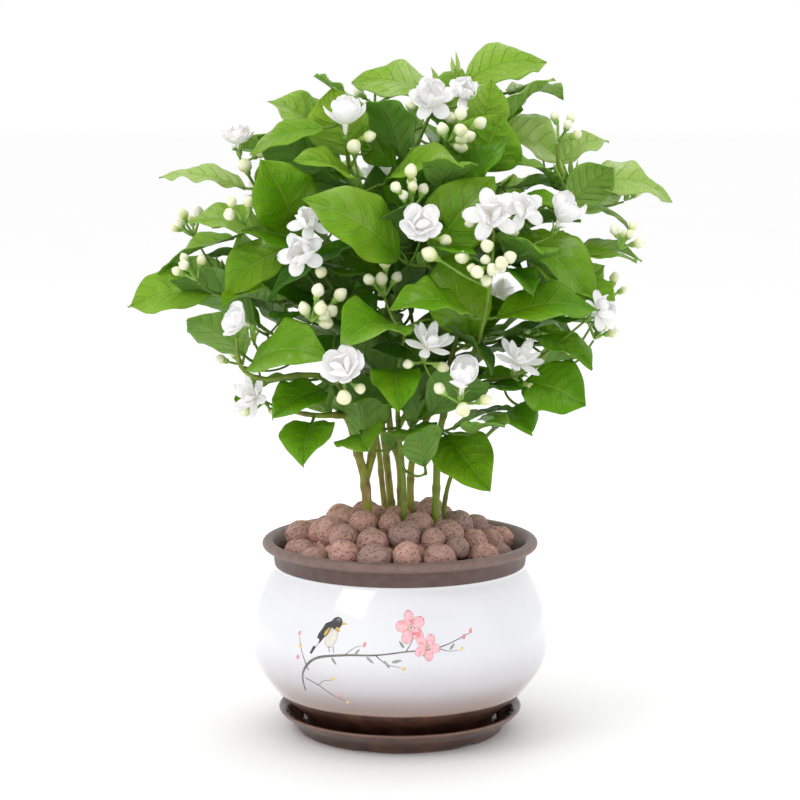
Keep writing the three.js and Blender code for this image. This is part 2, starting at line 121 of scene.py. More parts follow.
class Graph:
    """Shorthand for one material's node tree."""

    def __init__(self, name, **settings):
        self.material = bpy.data.materials.new(name)
        self.material.use_nodes = True
        self.tree = self.material.node_tree
        self.shader = self.tree.nodes["Principled BSDF"]
        self.output = self.tree.nodes["Material Output"]
        for key, value in settings.items():
            self.shader.inputs[key.replace("_", " ")].default_value = value

    def node(self, kind, inputs=(), **settings):
        made = self.tree.nodes.new(kind)
        for key, value in settings.items():
            setattr(made, key, value)
        for key, value in dict(inputs).items():
            if isinstance(value, bpy.types.NodeSocket):
                self.tree.links.new(value, made.inputs[key])
            else:
                made.inputs[key].default_value = value
        return made

    def math(self, operation, a, b=0.0, c=0.0, clamp=False):
        made = self.node("ShaderNodeMath", {0: a, 1: b, 2: c}, operation=operation)
        made.use_clamp = clamp
        return made.outputs[0]

    def times(self, a, b):
        return self.math("MULTIPLY", a, b)

    def plus(self, a, b, clamp=False):
        return self.math("ADD", a, b, clamp=clamp)

    def minus(self, a, b, clamp=False):
        return self.math("SUBTRACT", a, b, clamp=clamp)

    def flip(self, share):
        return self.math("SUBTRACT", 1.0, share)

    def mix(self, share, a, b):
        return self.node("ShaderNodeMix", {0: share, 6: a, 7: b}, data_type="RGBA").outputs[2]

    def noise(self, scale, detail=3.0, rough=0.55, vector=None):
        inputs = {"Scale": scale, "Detail": detail, "Roughness": rough, "Vector": vector or self.place()}
        return self.node("ShaderNodeTexNoise", inputs).outputs["Fac"]

    def voronoi(self, scale, feature="F1"):
        inputs = {"Vector": self.place(), "Scale": scale}
        return self.node("ShaderNodeTexVoronoi", inputs, feature=feature).outputs["Distance"]

    def place(self):
        return self.node("ShaderNodeTexCoord").outputs["Object"]

    def attribute(self, name):
        return self.node("ShaderNodeAttribute", attribute_name=name).outputs["Fac"]

    def ramp(self, share, stops):
        made = self.node("ShaderNodeValToRGB", {"Fac": share})
        elements = made.color_ramp.elements
        while len(elements) < len(stops):
            elements.new(0.5)
        for element, (position, colour) in zip(elements, stops):
            element.position = position
            element.color = colour
        return made.outputs["Color"]

    def fade(self, share, low, high):
        """0 below low, 1 above high, smooth between."""
        inputs = {"Value": share, "From Min": low, "From Max": high}
        return self.node("ShaderNodeMapRange", inputs, interpolation_type="SMOOTHSTEP").outputs["Result"]

    def bump(self, height, distance, strength):
        inputs = {"Height": height, "Distance": distance, "Strength": strength}
        return self.node("ShaderNodeBump", inputs).outputs["Normal"]

    def height(self):
        return self.node("ShaderNodeSeparateXYZ", {0: self.place()}).outputs[2]

    def uv(self):
        """How far along, and how far across, each from 0 to 1."""
        place = self.node("ShaderNodeUVMap", uv_map="UVMap").outputs[0]
        return self.node("ShaderNodeSeparateXYZ", {0: place}).outputs[:2]

    def set(self, key, value):
        self.tree.links.new(value, self.shader.inputs[key])

    def translucent(self, share, colour, normal):
        """Lets light through: share of it goes by a translucent shader."""
        glow = self.node("ShaderNodeBsdfTranslucent", {"Color": colour, "Normal": normal})
        mixed = self.node("ShaderNodeMixShader", {"Fac": share})
        self.tree.links.new(self.shader.outputs[0], mixed.inputs[1])
        self.tree.links.new(glow.outputs[0], mixed.inputs[2])
        self.tree.links.new(mixed.outputs[0], self.output.inputs["Surface"])


VEIN_PAIRS = 6.5  # lateral veins on each side of a leaf
VEIN_SWEEP = 0.27  # how far a lateral vein runs forward on its way to the margin, as a share of length


def leaf_material():
    """Glossy, quilted leaf. tone runs from 0, dark, to 1, pale, and holds both the leaf's age, old to young,
    and painted light: painted shade inside the crown and paler leaves high up and behind. under is 1 on the
    back.
    """
    g = Graph("leaf_blade", Coat_Roughness=0.2, Specular_IOR_Level=0.18)
    along, across = g.uv()
    out = g.math("ABSOLUTE", g.math("MULTIPLY_ADD", across, 2.0, -1.0))
    wobble = g.times(g.minus(g.noise(90, 2), 0.5), 0.05)
    swept = g.minus(along, g.times(g.math("POWER", out, 1.15), VEIN_SWEEP))
    phase = g.times(g.plus(swept, wobble), VEIN_PAIRS)
    from_vein = g.math("ABSOLUTE", g.minus(g.math("FRACT", phase), 0.5))
    lateral = g.fade(from_vein, 0.42, 0.5)
    lateral = g.times(lateral, g.flip(g.fade(out, 0.7, 0.97)))
    middle = g.flip(g.fade(out, 0.015, 0.07))
    veins = g.math("MAXIMUM", g.times(lateral, 0.85), middle)
    net = g.flip(g.fade(g.voronoi(420, "DISTANCE_TO_EDGE"), 0.0, 0.12))

    # tone brings in the painted shade and painted light that tone_at gives each leaf, along with its age
    tone = g.plus(g.attribute("tone"), g.times(g.minus(g.noise(38, 4), 0.5), 0.5))
    tone = g.plus(tone, g.times(g.minus(out, 0.5), 0.08), clamp=True)
    colour = g.ramp(tone, [
        (0.0, linear(22, 62, 10)), (0.25, linear(58, 116, 6)), (0.5, linear(108, 168, 12)),
        (0.72, linear(154, 198, 60)), (1.0, linear(196, 222, 130)),
    ])
    patches = g.times(g.fade(g.noise(22, 2), 0.5, 0.72), 0.3)
    yellowish = g.mix(patches, colour, linear(158, 190, 8))
    lighter = g.mix(0.4, yellowish, linear(186, 218, 100))
    colour = g.mix(g.times(veins, 0.75), yellowish, lighter)
    colour = g.mix(g.times(net, 0.1), colour, linear(50, 100, 20))
    back = g.mix(0.5, colour, linear(150, 186, 110))
    colour = g.mix(g.attribute("under"), colour, back)
    stalk = g.mix(g.attribute("tone"), linear(70, 110, 30), linear(140, 176, 70))
    colour = g.mix(g.attribute("stalk"), colour, stalk)
    height = g.minus(g.times(net, -0.2), g.times(veins, 1.0))
    height = g.plus(height, g.times(g.noise(240, 3), 0.35))
    normal = g.bump(height, 0.0008, 0.8)
    g.set("Base Color", colour)
    g.set("Normal", normal)
    g.set("Roughness", g.plus(0.3, g.times(g.noise(60, 3), 0.2)))
    g.set("Coat Weight", g.times(g.fade(g.noise(38, 3), 0.5, 0.62), 0.8))
    glow = g.mix(0.4, colour, linear(176, 224, 10))
    g.translucent(0.34, glow, normal)
    return g.material


def petal_material():
    """White petal with faint veins, cream towards its base and lilac in patches.

    It gives off a faint light of its own, to reach the white of the photographed petals.
    """
    g = Graph("petal", Roughness=0.5, Specular_IOR_Level=0.3, Emission_Strength=0.07)
    along, across = g.uv()
    base = g.flip(g.fade(along, 0.0, 0.45))
    colour = g.mix(g.times(base, 0.5), linear(254, 253, 253), linear(246, 245, 214))
    lilac = g.times(g.fade(g.noise(120, 3), 0.45, 0.75), 0.2)
    colour = g.mix(lilac, colour, linear(238, 230, 244))
    faded = g.times(g.attribute("faded"), g.fade(g.noise(160, 3), 0.35, 0.7))
    colour = g.mix(faded, colour, linear(222, 196, 178))
    stripes = g.math("SINE", g.times(across, 46.0))
    normal = g.bump(g.plus(g.times(stripes, 0.25), g.noise(300, 2)), 0.0002, 0.5)
    g.set("Base Color", colour)
    g.set("Normal", normal)
    g.translucent(0.3, linear(255, 255, 255), normal)
    return g.material


def bud_material():
    """Closed bud: green-cream at the foot and near white at the top, with the furled petals' edges."""
    g = Graph("bud", Roughness=0.42, Coat_Weight=0.1)
    along = g.attribute("along")
    colour = g.ramp(g.plus(along, g.times(g.noise(150, 3), 0.2)), [
        (0.05, linear(168, 190, 96)), (0.4, linear(226, 230, 164)), (0.85, linear(244, 243, 214)),
        (1.0, linear(238, 236, 190)),
    ])
    ripe = g.mix(g.attribute("ripe"), colour, linear(250, 249, 238))
    g.set("Base Color", g.mix(0.6, colour, ripe))
    g.set("Normal", g.bump(g.noise(400, 3), 0.0002, 0.4))
    return g.material


def green_material():
    """Calyxes, thread-like sepals, flower stalks and shoot tips."""
    g = Graph("green_parts", Roughness=0.45)
    share = g.fade(g.noise(110, 3), 0.3, 0.7)
    colour = g.mix(share, linear(96, 142, 44), linear(140, 178, 74))
    g.set("Base Color", g.mix(g.attribute("tone"), colour, linear(170, 200, 96)))
    g.set("Normal", g.bump(g.noise(500, 3), 0.0003, 0.4))
    return g.material


def bark_material():
    """Stem: brown, fissured and knotty at the foot of an old one, green and smooth on a young shoot."""
    g = Graph("stem_bark", Roughness=0.6)
    stretch = g.node("ShaderNodeMapping", {"Vector": g.place(), "Scale": (1, 1, 0.22)}).outputs[0]
    fibre = g.noise(420, 5, 0.6, stretch)
    patch = g.noise(110, 4)
    green = g.mix(patch, linear(78, 122, 18), linear(136, 160, 44))
    brown = g.mix(g.fade(fibre, 0.35, 0.7), linear(104, 78, 36), linear(196, 164, 104))
    mossy = g.mix(g.fade(patch, 0.36, 0.6), brown, linear(152, 156, 48))
    colour = g.mix(g.attribute("wood"), green, mossy)
    knot = g.attribute("knot")
    colour = g.mix(g.times(knot, 0.5), colour, linear(92, 78, 40))
    g.set("Base Color", colour)
    g.set("Normal", g.bump(fibre, 0.0008, 0.6))
    return g.material


def clay_material():
    """Fired expanded clay: a brown-mauve crust with pits, dust and a few greyer balls."""
    g = Graph("fired_clay_ball", Roughness=0.86, Specular_IOR_Level=0.25)
    crust = g.noise(260, 6, 0.65)
    pits = g.fade(g.voronoi(620), 0.1, 0.42)
    big = g.fade(g.noise(150, 3), 0.42, 0.62)
    warm = g.mix(crust, linear(160, 104, 92), linear(250, 204, 190))
    cold = g.mix(crust, linear(124, 94, 88), linear(208, 176, 168))
    colour = g.mix(g.attribute("grey"), warm, cold)
    colour = g.mix(g.times(g.flip(pits), 0.4), colour, linear(70, 44, 38))
    colour = g.mix(g.times(big, 0.25), colour, linear(190, 154, 142))
    g.set("Base Color", colour)
    height = g.plus(g.times(pits, 0.7), g.times(crust, 0.8))
    g.set("Normal", g.bump(height, 0.0011, 0.9))
    return g.material


# Where one finish gives way to the next, and where the painted shade over the pot's lower belly fades out, as
# heights in metres: on the pot, then on the saucer.
FOOT_FADE, TAN_FADE = (0.0232, 0.0246), (0.0243, 0.0262)
BLUSH_FADE, PAINTED_SHADE_FADE = (0.0255, 0.042), (0.03, 0.062)
COLLAR_FADE, LIP_FADE = (0.0932, 0.0937), (0.1005, 0.1035)
SAUCER_FOOT_FADE, SAUCER_RIM_FADE = (0.0, 0.0022), (0.0112, 0.0128)


def pot_material():
    """White glaze that thins to tan and to the brown of the foot, with painted shade greying its lower belly;
    matte brown lip and collar.
    """
    g = Graph("pot_glaze", Specular_IOR_Level=0.5)
    height = g.height()
    drift = g.times(g.minus(g.noise(34, 3), 0.5), 0.0016)
    level = g.plus(height, drift)
    white = g.mix(g.fade(g.noise(14, 3), 0.35, 0.75), linear(232, 232, 236), linear(224, 224, 230))
    speck = g.times(g.fade(g.noise(900, 2), 0.72, 0.8), 0.25)
    white = g.mix(speck, white, linear(190, 180, 172))
    tan = g.mix(g.noise(90, 4), linear(150, 118, 104), linear(176, 148, 136))
    brown = g.mix(g.fade(g.noise(120, 5), 0.3, 0.7), linear(56, 32, 24), linear(92, 58, 44))
    collar = g.mix(g.fade(g.noise(170, 5, 0.6), 0.25, 0.75), linear(82, 60, 55), linear(98, 75, 69))
    lip = g.mix(g.fade(g.noise(170, 5, 0.6), 0.25, 0.75), linear(112, 88, 82), linear(130, 106, 98))
    collar = g.mix(g.fade(height, *LIP_FADE), collar, lip)
    # painted shade: the white turns grey-lilac towards the bottom of the belly, darker the lower it goes
    shade = g.flip(g.fade(level, *PAINTED_SHADE_FADE))
    body = g.mix(g.times(shade, 0.8), white, linear(180, 173, 177))
    blush = g.flip(g.fade(level, *BLUSH_FADE))
    body = g.mix(g.times(blush, 0.8), body, linear(148, 120, 106))
    body = g.mix(g.fade(level, *TAN_FADE), tan, body)
    foot = g.mix(g.fade(level, *FOOT_FADE), brown, body)
    on_collar = g.fade(height, *COLLAR_FADE)
    g.set("Base Color", g.mix(on_collar, foot, collar))
    glazed = g.minus(g.fade(level, *FOOT_FADE), on_collar, clamp=True)
    g.set("Roughness", g.minus(0.48, g.times(glazed, 0.36)))
    g.set("Coat Weight", glazed)
    grain = g.times(g.noise(700, 4), g.flip(g.times(glazed, 0.93)))
    g.set("Normal", g.bump(grain, 0.0005, 0.55))
    return g.material


def saucer_material():
    """Dark brown glaze, lighter where it thins over the rim and the foot's edge."""
    g = Graph("saucer_glaze", Specular_IOR_Level=0.5, Coat_Weight=0.4, Coat_Roughness=0.15)
    height = g.height()
    dark = g.mix(g.fade(g.noise(90, 5), 0.3, 0.7), linear(58, 32, 22), linear(92, 58, 43))
    worn = g.mix(g.noise(160, 4), linear(112, 80, 66), linear(140, 106, 90))
    level = g.plus(height, g.times(g.noise(300, 3), 0.0012))
    rim = g.times(g.fade(level, *SAUCER_RIM_FADE), 0.8)
    foot = g.times(g.flip(g.fade(height, *SAUCER_FOOT_FADE)), 0.5)
    colour = g.mix(g.math("MAXIMUM", rim, foot), dark, worn)
    g.set("Base Color", colour)
    g.set("Roughness", g.plus(0.26, g.times(g.noise(140, 3), 0.26)))
    g.set("Normal", g.bump(g.noise(520, 4), 0.0004, 0.4))
    return g.material


def soil_material():
    """Dark crumbs with pale fibres."""
    g = Graph("potting_soil", Roughness=0.95, Specular_IOR_Level=0.2)
    crumbs = g.noise(420, 6, 0.7)
    colour = g.mix(crumbs, linear(34, 24, 18), linear(84, 62, 46))
    fibres = g.fade(g.noise(900, 2), 0.66, 0.74)
    g.set("Base Color", g.mix(g.times(fibres, 0.5), colour, linear(134, 112, 84)))
    g.set("Normal", g.bump(crumbs, 0.0025, 0.9))
    return g.material


def enamel(name, *shades):
    """Overglaze paint with brush-load variation between two or more shades."""
    g = Graph(name, Roughness=0.25, Coat_Weight=0.6, Coat_Roughness=0.08)
    stops = [(0.3 + 0.4 * i / (len(shades) - 1), linear(*shade)) for i, shade in enumerate(shades)]
    g.set("Base Color", g.ramp(g.noise(260, 3), stops))
    g.set("Normal", g.bump(g.noise(800, 2), 0.0001, 0.3))
    return g.material


LEAF = leaf_material()
PETAL = petal_material()
BUD = bud_material()
GREEN = green_material()
BARK = bark_material()
CLAY = clay_material()


def floor_material():
    """Plain near-white."""
    g = Graph("studio_floor", Roughness=0.7)
    g.set("Base Color", g.mix(g.noise(3, 2), linear(252, 252, 252), linear(254, 254, 254)))
    return g.material


bpy.ops.mesh.primitive_plane_add(size=80)
floor = bpy.context.object
floor.name = "studio_floor"
floor.data.materials.append(floor_material())

# ---------------------------------------------------------------- meshes


def unit(v):
    v = np.asarray(v, float)
    return v / np.linalg.norm(v)


def smooth(low, high, x):
    """0 below low, 1 above high, smooth between."""
    t = np.clip((np.asarray(x, float) - low) / (high - low), 0, 1)
    return t * t * (3 - 2 * t)


def pair_across(axis, hint):
    """Two directions across the axis and each other, the first also across the hint."""
    first = unit(np.cross(axis, hint))
    return first, np.cross(axis, first)


def around(a, b, turn):
    """The direction that far round from a towards b."""
    return a * math.cos(turn) + b * math.sin(turn)


class Shape:
    """Vertices, faces, a UV place for each vertex and named values for each vertex."""

    def __init__(self, points, faces, uv=None, **values):
        self.points = np.asarray(points, float).reshape(-1, 3)
        self.faces = faces
        self.uv = np.zeros((len(self.points), 2)) if uv is None else uv
        self.values = {k: np.broadcast_to(np.asarray(v, float), len(self.points)) for k, v in values.items()}


def piece(name, shapes, material, attributes=()):
    """Joins the shapes into one object that rides with the part."""
    faces, start = [], 0
    for shape in shapes:
        faces += [tuple(c + start for c in face) for face in shape.faces]
        start += len(shape.points)
    points = np.vstack([shape.points for shape in shapes]) * MM
    mesh = bpy.data.meshes.new(name)
    mesh.from_pydata(points.tolist(), [], faces)
    corners = np.empty(len(mesh.loops), np.int32)
    mesh.loops.foreach_get("vertex_index", corners)
    uv = np.vstack([shape.uv for shape in shapes])
    mesh.uv_layers.new(name="UVMap").data.foreach_set("uv", uv[corners].ravel().astype(np.float32))
    for key in attributes:
        values = np.concatenate([shape.values.get(key, np.zeros(len(shape.points))) for shape in shapes])
        mesh.attributes.new(key, "FLOAT", "POINT").data.foreach_set("value", values.astype(np.float32))
    mesh.polygons.foreach_set("use_smooth", [True] * len(mesh.polygons))
    mesh.materials.append(material)
    made = bpy.data.objects.new(name, mesh)
    bpy.context.scene.collection.objects.link(made)
    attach(made, "root")
    return made


def strip(rows, columns, start=0, wrap=False):
    """Quads between neighbouring rows of a grid."""
    faces = []
    for i in range(rows - 1):
        for j in range(columns if wrap else columns - 1):
            a, b = start + i * columns + j, start + i * columns + (j + 1) % columns
            faces.append((a, b, b + columns, a + columns))
    return faces


def closed_strip(rows, sides):
    """Quads between neighbouring rings, and a cap at each end."""
    faces = strip(rows, sides, wrap=True)
    faces.append(tuple(range(sides))[::-1])
    faces.append(tuple(range((rows - 1) * sides, rows * sides)))
    return faces


def spline(points, step=2.5):
    """A smooth path through the points, sampled about every step."""
    p = np.array(points, float)
    ends = np.vstack([2 * p[0] - p[1], p, 2 * p[-1] - p[-2]])
    out = []
    for i in range(len(p) - 1):
        a, b, c, d = ends[i : i + 4]
        count = max(2, int(round(np.linalg.norm(c - b) / step)))
        t = np.linspace(0, 1, count, endpoint=False)[:, None]
        square, cube = 2 * a - 5 * b + 4 * c - d, 3 * b - a - 3 * c + d
        out.append(0.5 * (2 * b + (c - a) * t + square * t**2 + cube * t**3))
    return np.vstack(out + [p[-1:]])


def frames(path):
    """Two directions across the path at each of its points, turning as little as possible."""
    ahead = np.gradient(path, axis=0)
    ahead /= np.linalg.norm(ahead, axis=1)[:, None]
    first = unit(np.cross(ahead[0], [0.3, 0.9, 0.2]))
    across = [first]
    for t in ahead[1:]:
        across.append(unit(across[-1] - t * np.dot(across[-1], t)))
    across = np.array(across)
    return across, np.cross(ahead, across)


def tube(path, radii, sides=8, **values):
    """A closed round tube. radii is one for each point, or one for each point and side."""
    path = np.asarray(path, float)
    a, b = frames(path)
    turn = np.linspace(0, 2 * np.pi, sides, endpoint=False)
    radii = np.asarray(radii, float)
    radii = radii[:, None] if radii.ndim == 1 else radii
    ring = (
        path[:, None]
        + (radii * np.cos(turn))[..., None] * a[:, None]
        + (radii * np.sin(turn))[..., None] * b[:, None]
    )
    spread = {k: np.repeat(np.broadcast_to(v, len(path)), sides) for k, v in values.items()}
    return Shape(ring.reshape(-1, 3), closed_strip(len(path), sides), **spread)


def sheet(top, thickness, uv, under=True, **values):
    """A closed thin sheet from a grid of points: its top, its underside and its edge."""
    rows, columns = top.shape[:2]
    du = np.gradient(top, axis=0)
    dv = np.gradient(top, axis=1)
    normal = np.cross(du, dv)
    length = np.linalg.norm(normal, axis=2, keepdims=True)
    normal = normal / np.maximum(length, 1e-9)
    depth = np.broadcast_to(np.asarray(thickness, float), (rows, columns))[..., None]
    bottom = top - normal * depth
    count = rows * columns
    faces = strip(rows, columns)
    faces = [f[::-1] for f in faces] + strip(rows, columns, count)
    edge = (
        [(0, j) for j in range(columns)]
        + [(i, columns - 1) for i in range(1, rows)]
        + [(rows - 1, j) for j in range(columns - 2, -1, -1)]
        + [(i, 0) for i in range(rows - 2, 0, -1)]
    )
    ids = [i * columns + j for i, j in edge]
    for a, b in zip(ids, ids[1:] + ids[:1]):
        faces.append((a, b, b + count, a + count))
    both = {k: np.tile(np.broadcast_to(v, (rows, columns)).ravel(), 2) for k, v in values.items()}
    if under:
        both["under"] = np.concatenate([np.zeros(count), np.ones(count)])
    points = np.vstack([top.reshape(-1, 3), bottom.reshape(-1, 3)])
    return Shape(points, faces, np.tile(uv.reshape(-1, 2), (2, 1)), **both)


def turned(profile, sides, change=None):
    """A solid turned about +Z. The profile starts and ends beside the axis, or closes on itself."""
    profile = np.asarray(profile, float)
    turn = np.linspace(0, 2 * np.pi, sides, endpoint=False)
    points = np.stack([
        profile[:, 0, None] * np.cos(turn), profile[:, 0, None] * np.sin(turn),
        np.broadcast_to(profile[:, 1, None], (len(profile), sides)),
    ], axis=2)
    if change:
        points = change(points, turn)
    if np.allclose(profile[0], profile[-1]):
        points = points[:-1]
        count = len(points) * sides
        faces = strip(len(profile), sides, wrap=True)
        faces = [tuple(c % count for c in f) for f in faces]
    else:
        faces = closed_strip(len(profile), sides)
    return Shape(points.reshape(-1, 3), faces)


# ---------------------------------------------------------------- the frame's skeleton

# The stems' paths and foot radii, the same as the frame's solids are made from.
STEMS = {
    "stem_left": (3.3, [
        [[-17, -8, 88], [-17, -8, 100], [-19, -9, 138], [-23, -11, 156], [-28, -16, 178], [-31, -30, 194],
         [-38, -44, 202], [-54, -50, 204], [-72, -50, 202], [-84, -48, 208], [-87, -42, 224]],
        [[-19, -9, 140], [-15, -5, 160], [-17, -2, 190], [-26, -6, 225], [-42, -10, 256], [-56, -16, 277]],
        [[-28, -16, 178], [-36, -30, 180], [-46, -38, 181], [-62, -40, 184]],
    ]),
    "stem_thin_left": (1.8, [
        [[-7, 12, 88], [-7, 12, 100], [-10, 13, 135], [-14, 15, 165], [-27, 18, 205],
         [-48, 20, 248], [-66, 18, 280], [-78, 16, 298], [-85, 13, 310]],
        [[-48, 20, 248], [-72, 14, 250], [-94, 8, 246]],
    ]),
    "stem_centre": (2.3, [
        [[0, 2, 88], [0, 2, 100], [0, 2, 145], [-5, 5, 165], [-8, 8, 205], [-5, 8, 255], [4, 6, 305],
         [14, 6, 335], [26, 8, 356]],
        [[-5, 8, 255], [-14, -4, 282], [-20, -10, 298], [-27, -10, 312]],
    ]),
    "stem_twin": (2.2, [
        [[7, -4, 88], [7, -4, 100], [6, -4, 145], [12, -6, 168], [24, -8, 195], [33, -10, 230],
         [38, -12, 268], [39, -10, 304], [48, 12, 332]],
        [[38, -12, 268], [60, -4, 280], [78, 6, 290], [94, 8, 302]],
        [[33, -10, 230], [26, -28, 248], [14, -42, 262]],
    ]),
    "stem_right": (2.5, [
        [[19, -14, 88], [19, -14, 100], [20, -14, 140], [21, -16, 165], [27, -28, 190], [38, -50, 214],
         [43, -69, 234], [46, -75, 252], [48, -69, 270]],
        [[27, -28, 190], [44, -42, 199], [60, -50, 203]],
    ]),
    "stem_front": (1.9, [
        [[2, -16, 88], [2, -16, 100], [2, -19, 140], [-1, -30, 175], [-1, -48, 205], [3, -58, 228]],
    ]),
    "stem_rear": (2.6, [
        [[-3, 20, 88], [-3, 20, 100], [-8, 27, 150], [-14, 40, 195], [-14, 52, 235], [-10, 56, 268]],
        [[-8, 27, 150], [10, 40, 188], [18, 50, 230], [30, 46, 282]],
        [[10, 40, 188], [28, 42, 205], [46, 40, 214]],
    ]),
    "stem_young_right": (1.5, [
        [[23, 8, 88], [23, 8, 105], [29, 14, 140], [50, 18, 163], [64, 16, 175], [76, 12, 188]],
    ]),
}
GREEN_STEMS = ("stem_right", "stem_young_right", "stem_front")
WOOD_FADES, GREEN_STEM_WOOD = (120, 235), 0.12  # the heights where wood gives way to green
SIDE_SHOOT_SHARE = 0.66  # a side shoot's foot radius as a share of its stem's
TWIG_R = 0.85
PETIOLE_REACH = 9.0  # an organ closer than this to a shoot needs no twig
POT_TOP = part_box("pot")[1].z / MM

shoots = []  # {"stem", "path", "radii", "wood"}
for stem, (radius, paths) in STEMS.items():
    for i, points in enumerate(paths):
        path = spline(points)
        share = np.linspace(0, 1, len(path))
        radii = (SIDE_SHOOT_SHARE if i else 1) * radius * (1 - share) + TWIG_R * share
        woody = 1 - smooth(*WOOD_FADES, path[:, 2])
        if stem in GREEN_STEMS:
            woody = woody * GREEN_STEM_WOOD
        shoots.append({"stem": stem, "path": path, "radii": radii, "wood": woody})


def nearest(target):
    """The best place on a shoot for something that grows out to target: near, and not above it.

    Returns the place, its stem's name and the shoot's radius there.
    """
    best = None
    for shoot in shoots:
        path = shoot["path"]
        climb = target[2] - path[:, 2]
        cost = np.linalg.norm(path - target, axis=1) + np.where(climb < 0, -climb, 0)
        cost = np.where(path[:, 2] > POT_TOP, cost, 1e9)
        i = int(np.argmin(cost))
        if best is None or cost[i] < best[0]:
            best = (cost[i], path[i], shoot["stem"], shoot["radii"][i])
    return best[1:]


def grow_twig(base, towards):
    """Joins base to the nearest shoot and returns where the organ's own stalk starts.

    Where the shoot is more than a petiole away, a twig bridges the gap.
    """
    point, stem, radius = nearest(base)
    reach = np.linalg.norm(base - point)
    if reach <= PETIOLE_REACH:
        return point
    end = base - unit(towards) * 1.5
    bend = (point + end) / 2 - unit(towards) * 0.3 * reach - UP * 0.05 * reach
    t = np.linspace(0, 1, 6)[:, None]
    path = spline((1 - t) ** 2 * point + 2 * t * (1 - t) * bend + t**2 * end)
    radii = np.linspace(min(TWIG_R, radius), 0.72 * TWIG_R, len(path))
    shoots.append({"stem": stem, "path": path, "radii": radii, "wood": np.zeros(len(path))})
    return end


def node_points(name):
    """A node's vertices in millimetres."""
    mesh = NODES[name].data
    points = np.empty(len(mesh.vertices) * 3)
    mesh.vertices.foreach_get("co", points)
    return points.reshape(-1, 3) / MM


def stem_surface():
    """All the CAD stems as one tree for distances."""
    points, faces = [], []
    for name in STEM_NODES:
        start = len(points)
        points += [Vector(p) for p in node_points(name)]
        faces += [tuple(start + c for c in f.vertices) for f in NODES[name].data.polygons]
    return BVHTree.FromPolygons(points, faces)


STEM_SURFACE = stem_surface()


def from_stem(point):
    """The distance to the nearest CAD stem."""
    return STEM_SURFACE.find_nearest(Vector(point))[3]


def stalk_end(points):
    """The vertex where the organ meets its stem."""
    reach = np.linalg.norm(points - points.mean(0), axis=1)
    outer = points[reach > 0.45 * reach.max()]
    return outer[int(np.argmin([from_stem(p) for p in outer]))]


# ---------------------------------------------------------------- leaves

BLADE_ROWS, BLADE_COLUMNS = 30, 15


def outline(u):
    """The half width of an ovate leaf with a drawn-out tip, from 0 at its base to 1 and back to 0."""
    body = np.sin(np.pi * np.clip(u, 0, 1) ** 0.93) ** 0.78
    return body * (1 - 0.25 * smooth(0.78, 1.0, u))


def leaf(base, tip, up, width, arch, tone, seed, foot):
    """The shapes of a quilted, wavy leaf from base to tip and of its petiole, which comes from foot.

    Its upper face looks along up.
    """
    own = np.random.default_rng(seed)
    chord = tip - base
    length = np.linalg.norm(chord)
    ahead = chord / length
    up = unit(up - ahead * np.dot(up, ahead))
    side = np.cross(up, ahead)
    u = np.linspace(0, 1, BLADE_ROWS)[:, None]
    v = np.linspace(-1, 1, BLADE_COLUMNS)[None, :]
    out = np.abs(v)
    half = np.maximum(outline(u) * width / 2, 0.25)
    sway = own.uniform(-0.05, 0.05) * length * np.sin(np.pi * u)
    droop = own.uniform(0.0, 0.05) * length * smooth(0.55, 1, u) ** 1.5
    fold = own.uniform(0.1, 0.26)
    twist = own.uniform(-0.25, 0.25) * (u - 0.3)
    phase = (u - VEIN_SWEEP * out**1.15) * VEIN_PAIRS
    puffs = 0.036 * width * np.sin(np.pi * (phase + 0.5)) ** 2
    quilt = puffs * smooth(0.04, 0.3, out) * (1 - 0.6 * smooth(0.6, 1, out))
    quilt = quilt * smooth(0, 0.12, u) * (1 - smooth(0.85, 1, u))
    wave = 0.0
    for side_sign in (-1, 1):
        turns, shift, tall = own.uniform(1.6, 3.2), own.uniform(0, 6.3), own.uniform(0.025, 0.065)
        ripple = tall * width * out**2.2 * np.sin(2 * np.pi * turns * u + shift)
        wave = wave + np.where(v * side_sign > 0, ripple, 0)
    curl = own.uniform(-0.12, 0.06) * width / 2 * out**3 * smooth(0.2, 0.6, u)
    groove = -0.014 * width * np.exp(-((v / 0.07) ** 2)) * (1 - u)
    lift = arch * length * np.sin(np.pi * u) - droop + fold * out * half + quilt
    lift = lift + wave * smooth(0, 0.15, u) + curl + groove
    x = v * half * np.cos(twist) + sway
    z = lift + v * half * np.sin(twist)
    centre = base[None, None] + (u * length)[..., None] * ahead
    top = centre + x[..., None] * side + z[..., None] * up
    uv = np.stack(np.broadcast_arrays(u, (v + 1) / 2), axis=2)
    rib = 0.35 + 0.75 * np.exp(-((v / 0.09) ** 2)) * (1 - 0.75 * u)
    blade = sheet(top, rib, uv, tone=tone, stalk=0.0)
    knee = (foot + base) / 2 + up * -0.08 * np.linalg.norm(base - foot)
    under_blade = base + ahead * 5 + up * (arch * length * 0.12 - 0.3)
    stalk_path = spline([foot, knee, base + ahead * 0.5, under_blade], 1.6)
    radii = np.interp(np.linspace(0, 1, len(stalk_path)), [0, 0.25, 0.8, 1], [1.1, 0.8, 0.75, 0.35])
    stalk = tube(stalk_path, radii, 8, tone=tone, stalk=1.0)
    return [blade, stalk]


LEAF_VALUES = ("tone", "under", "stalk")


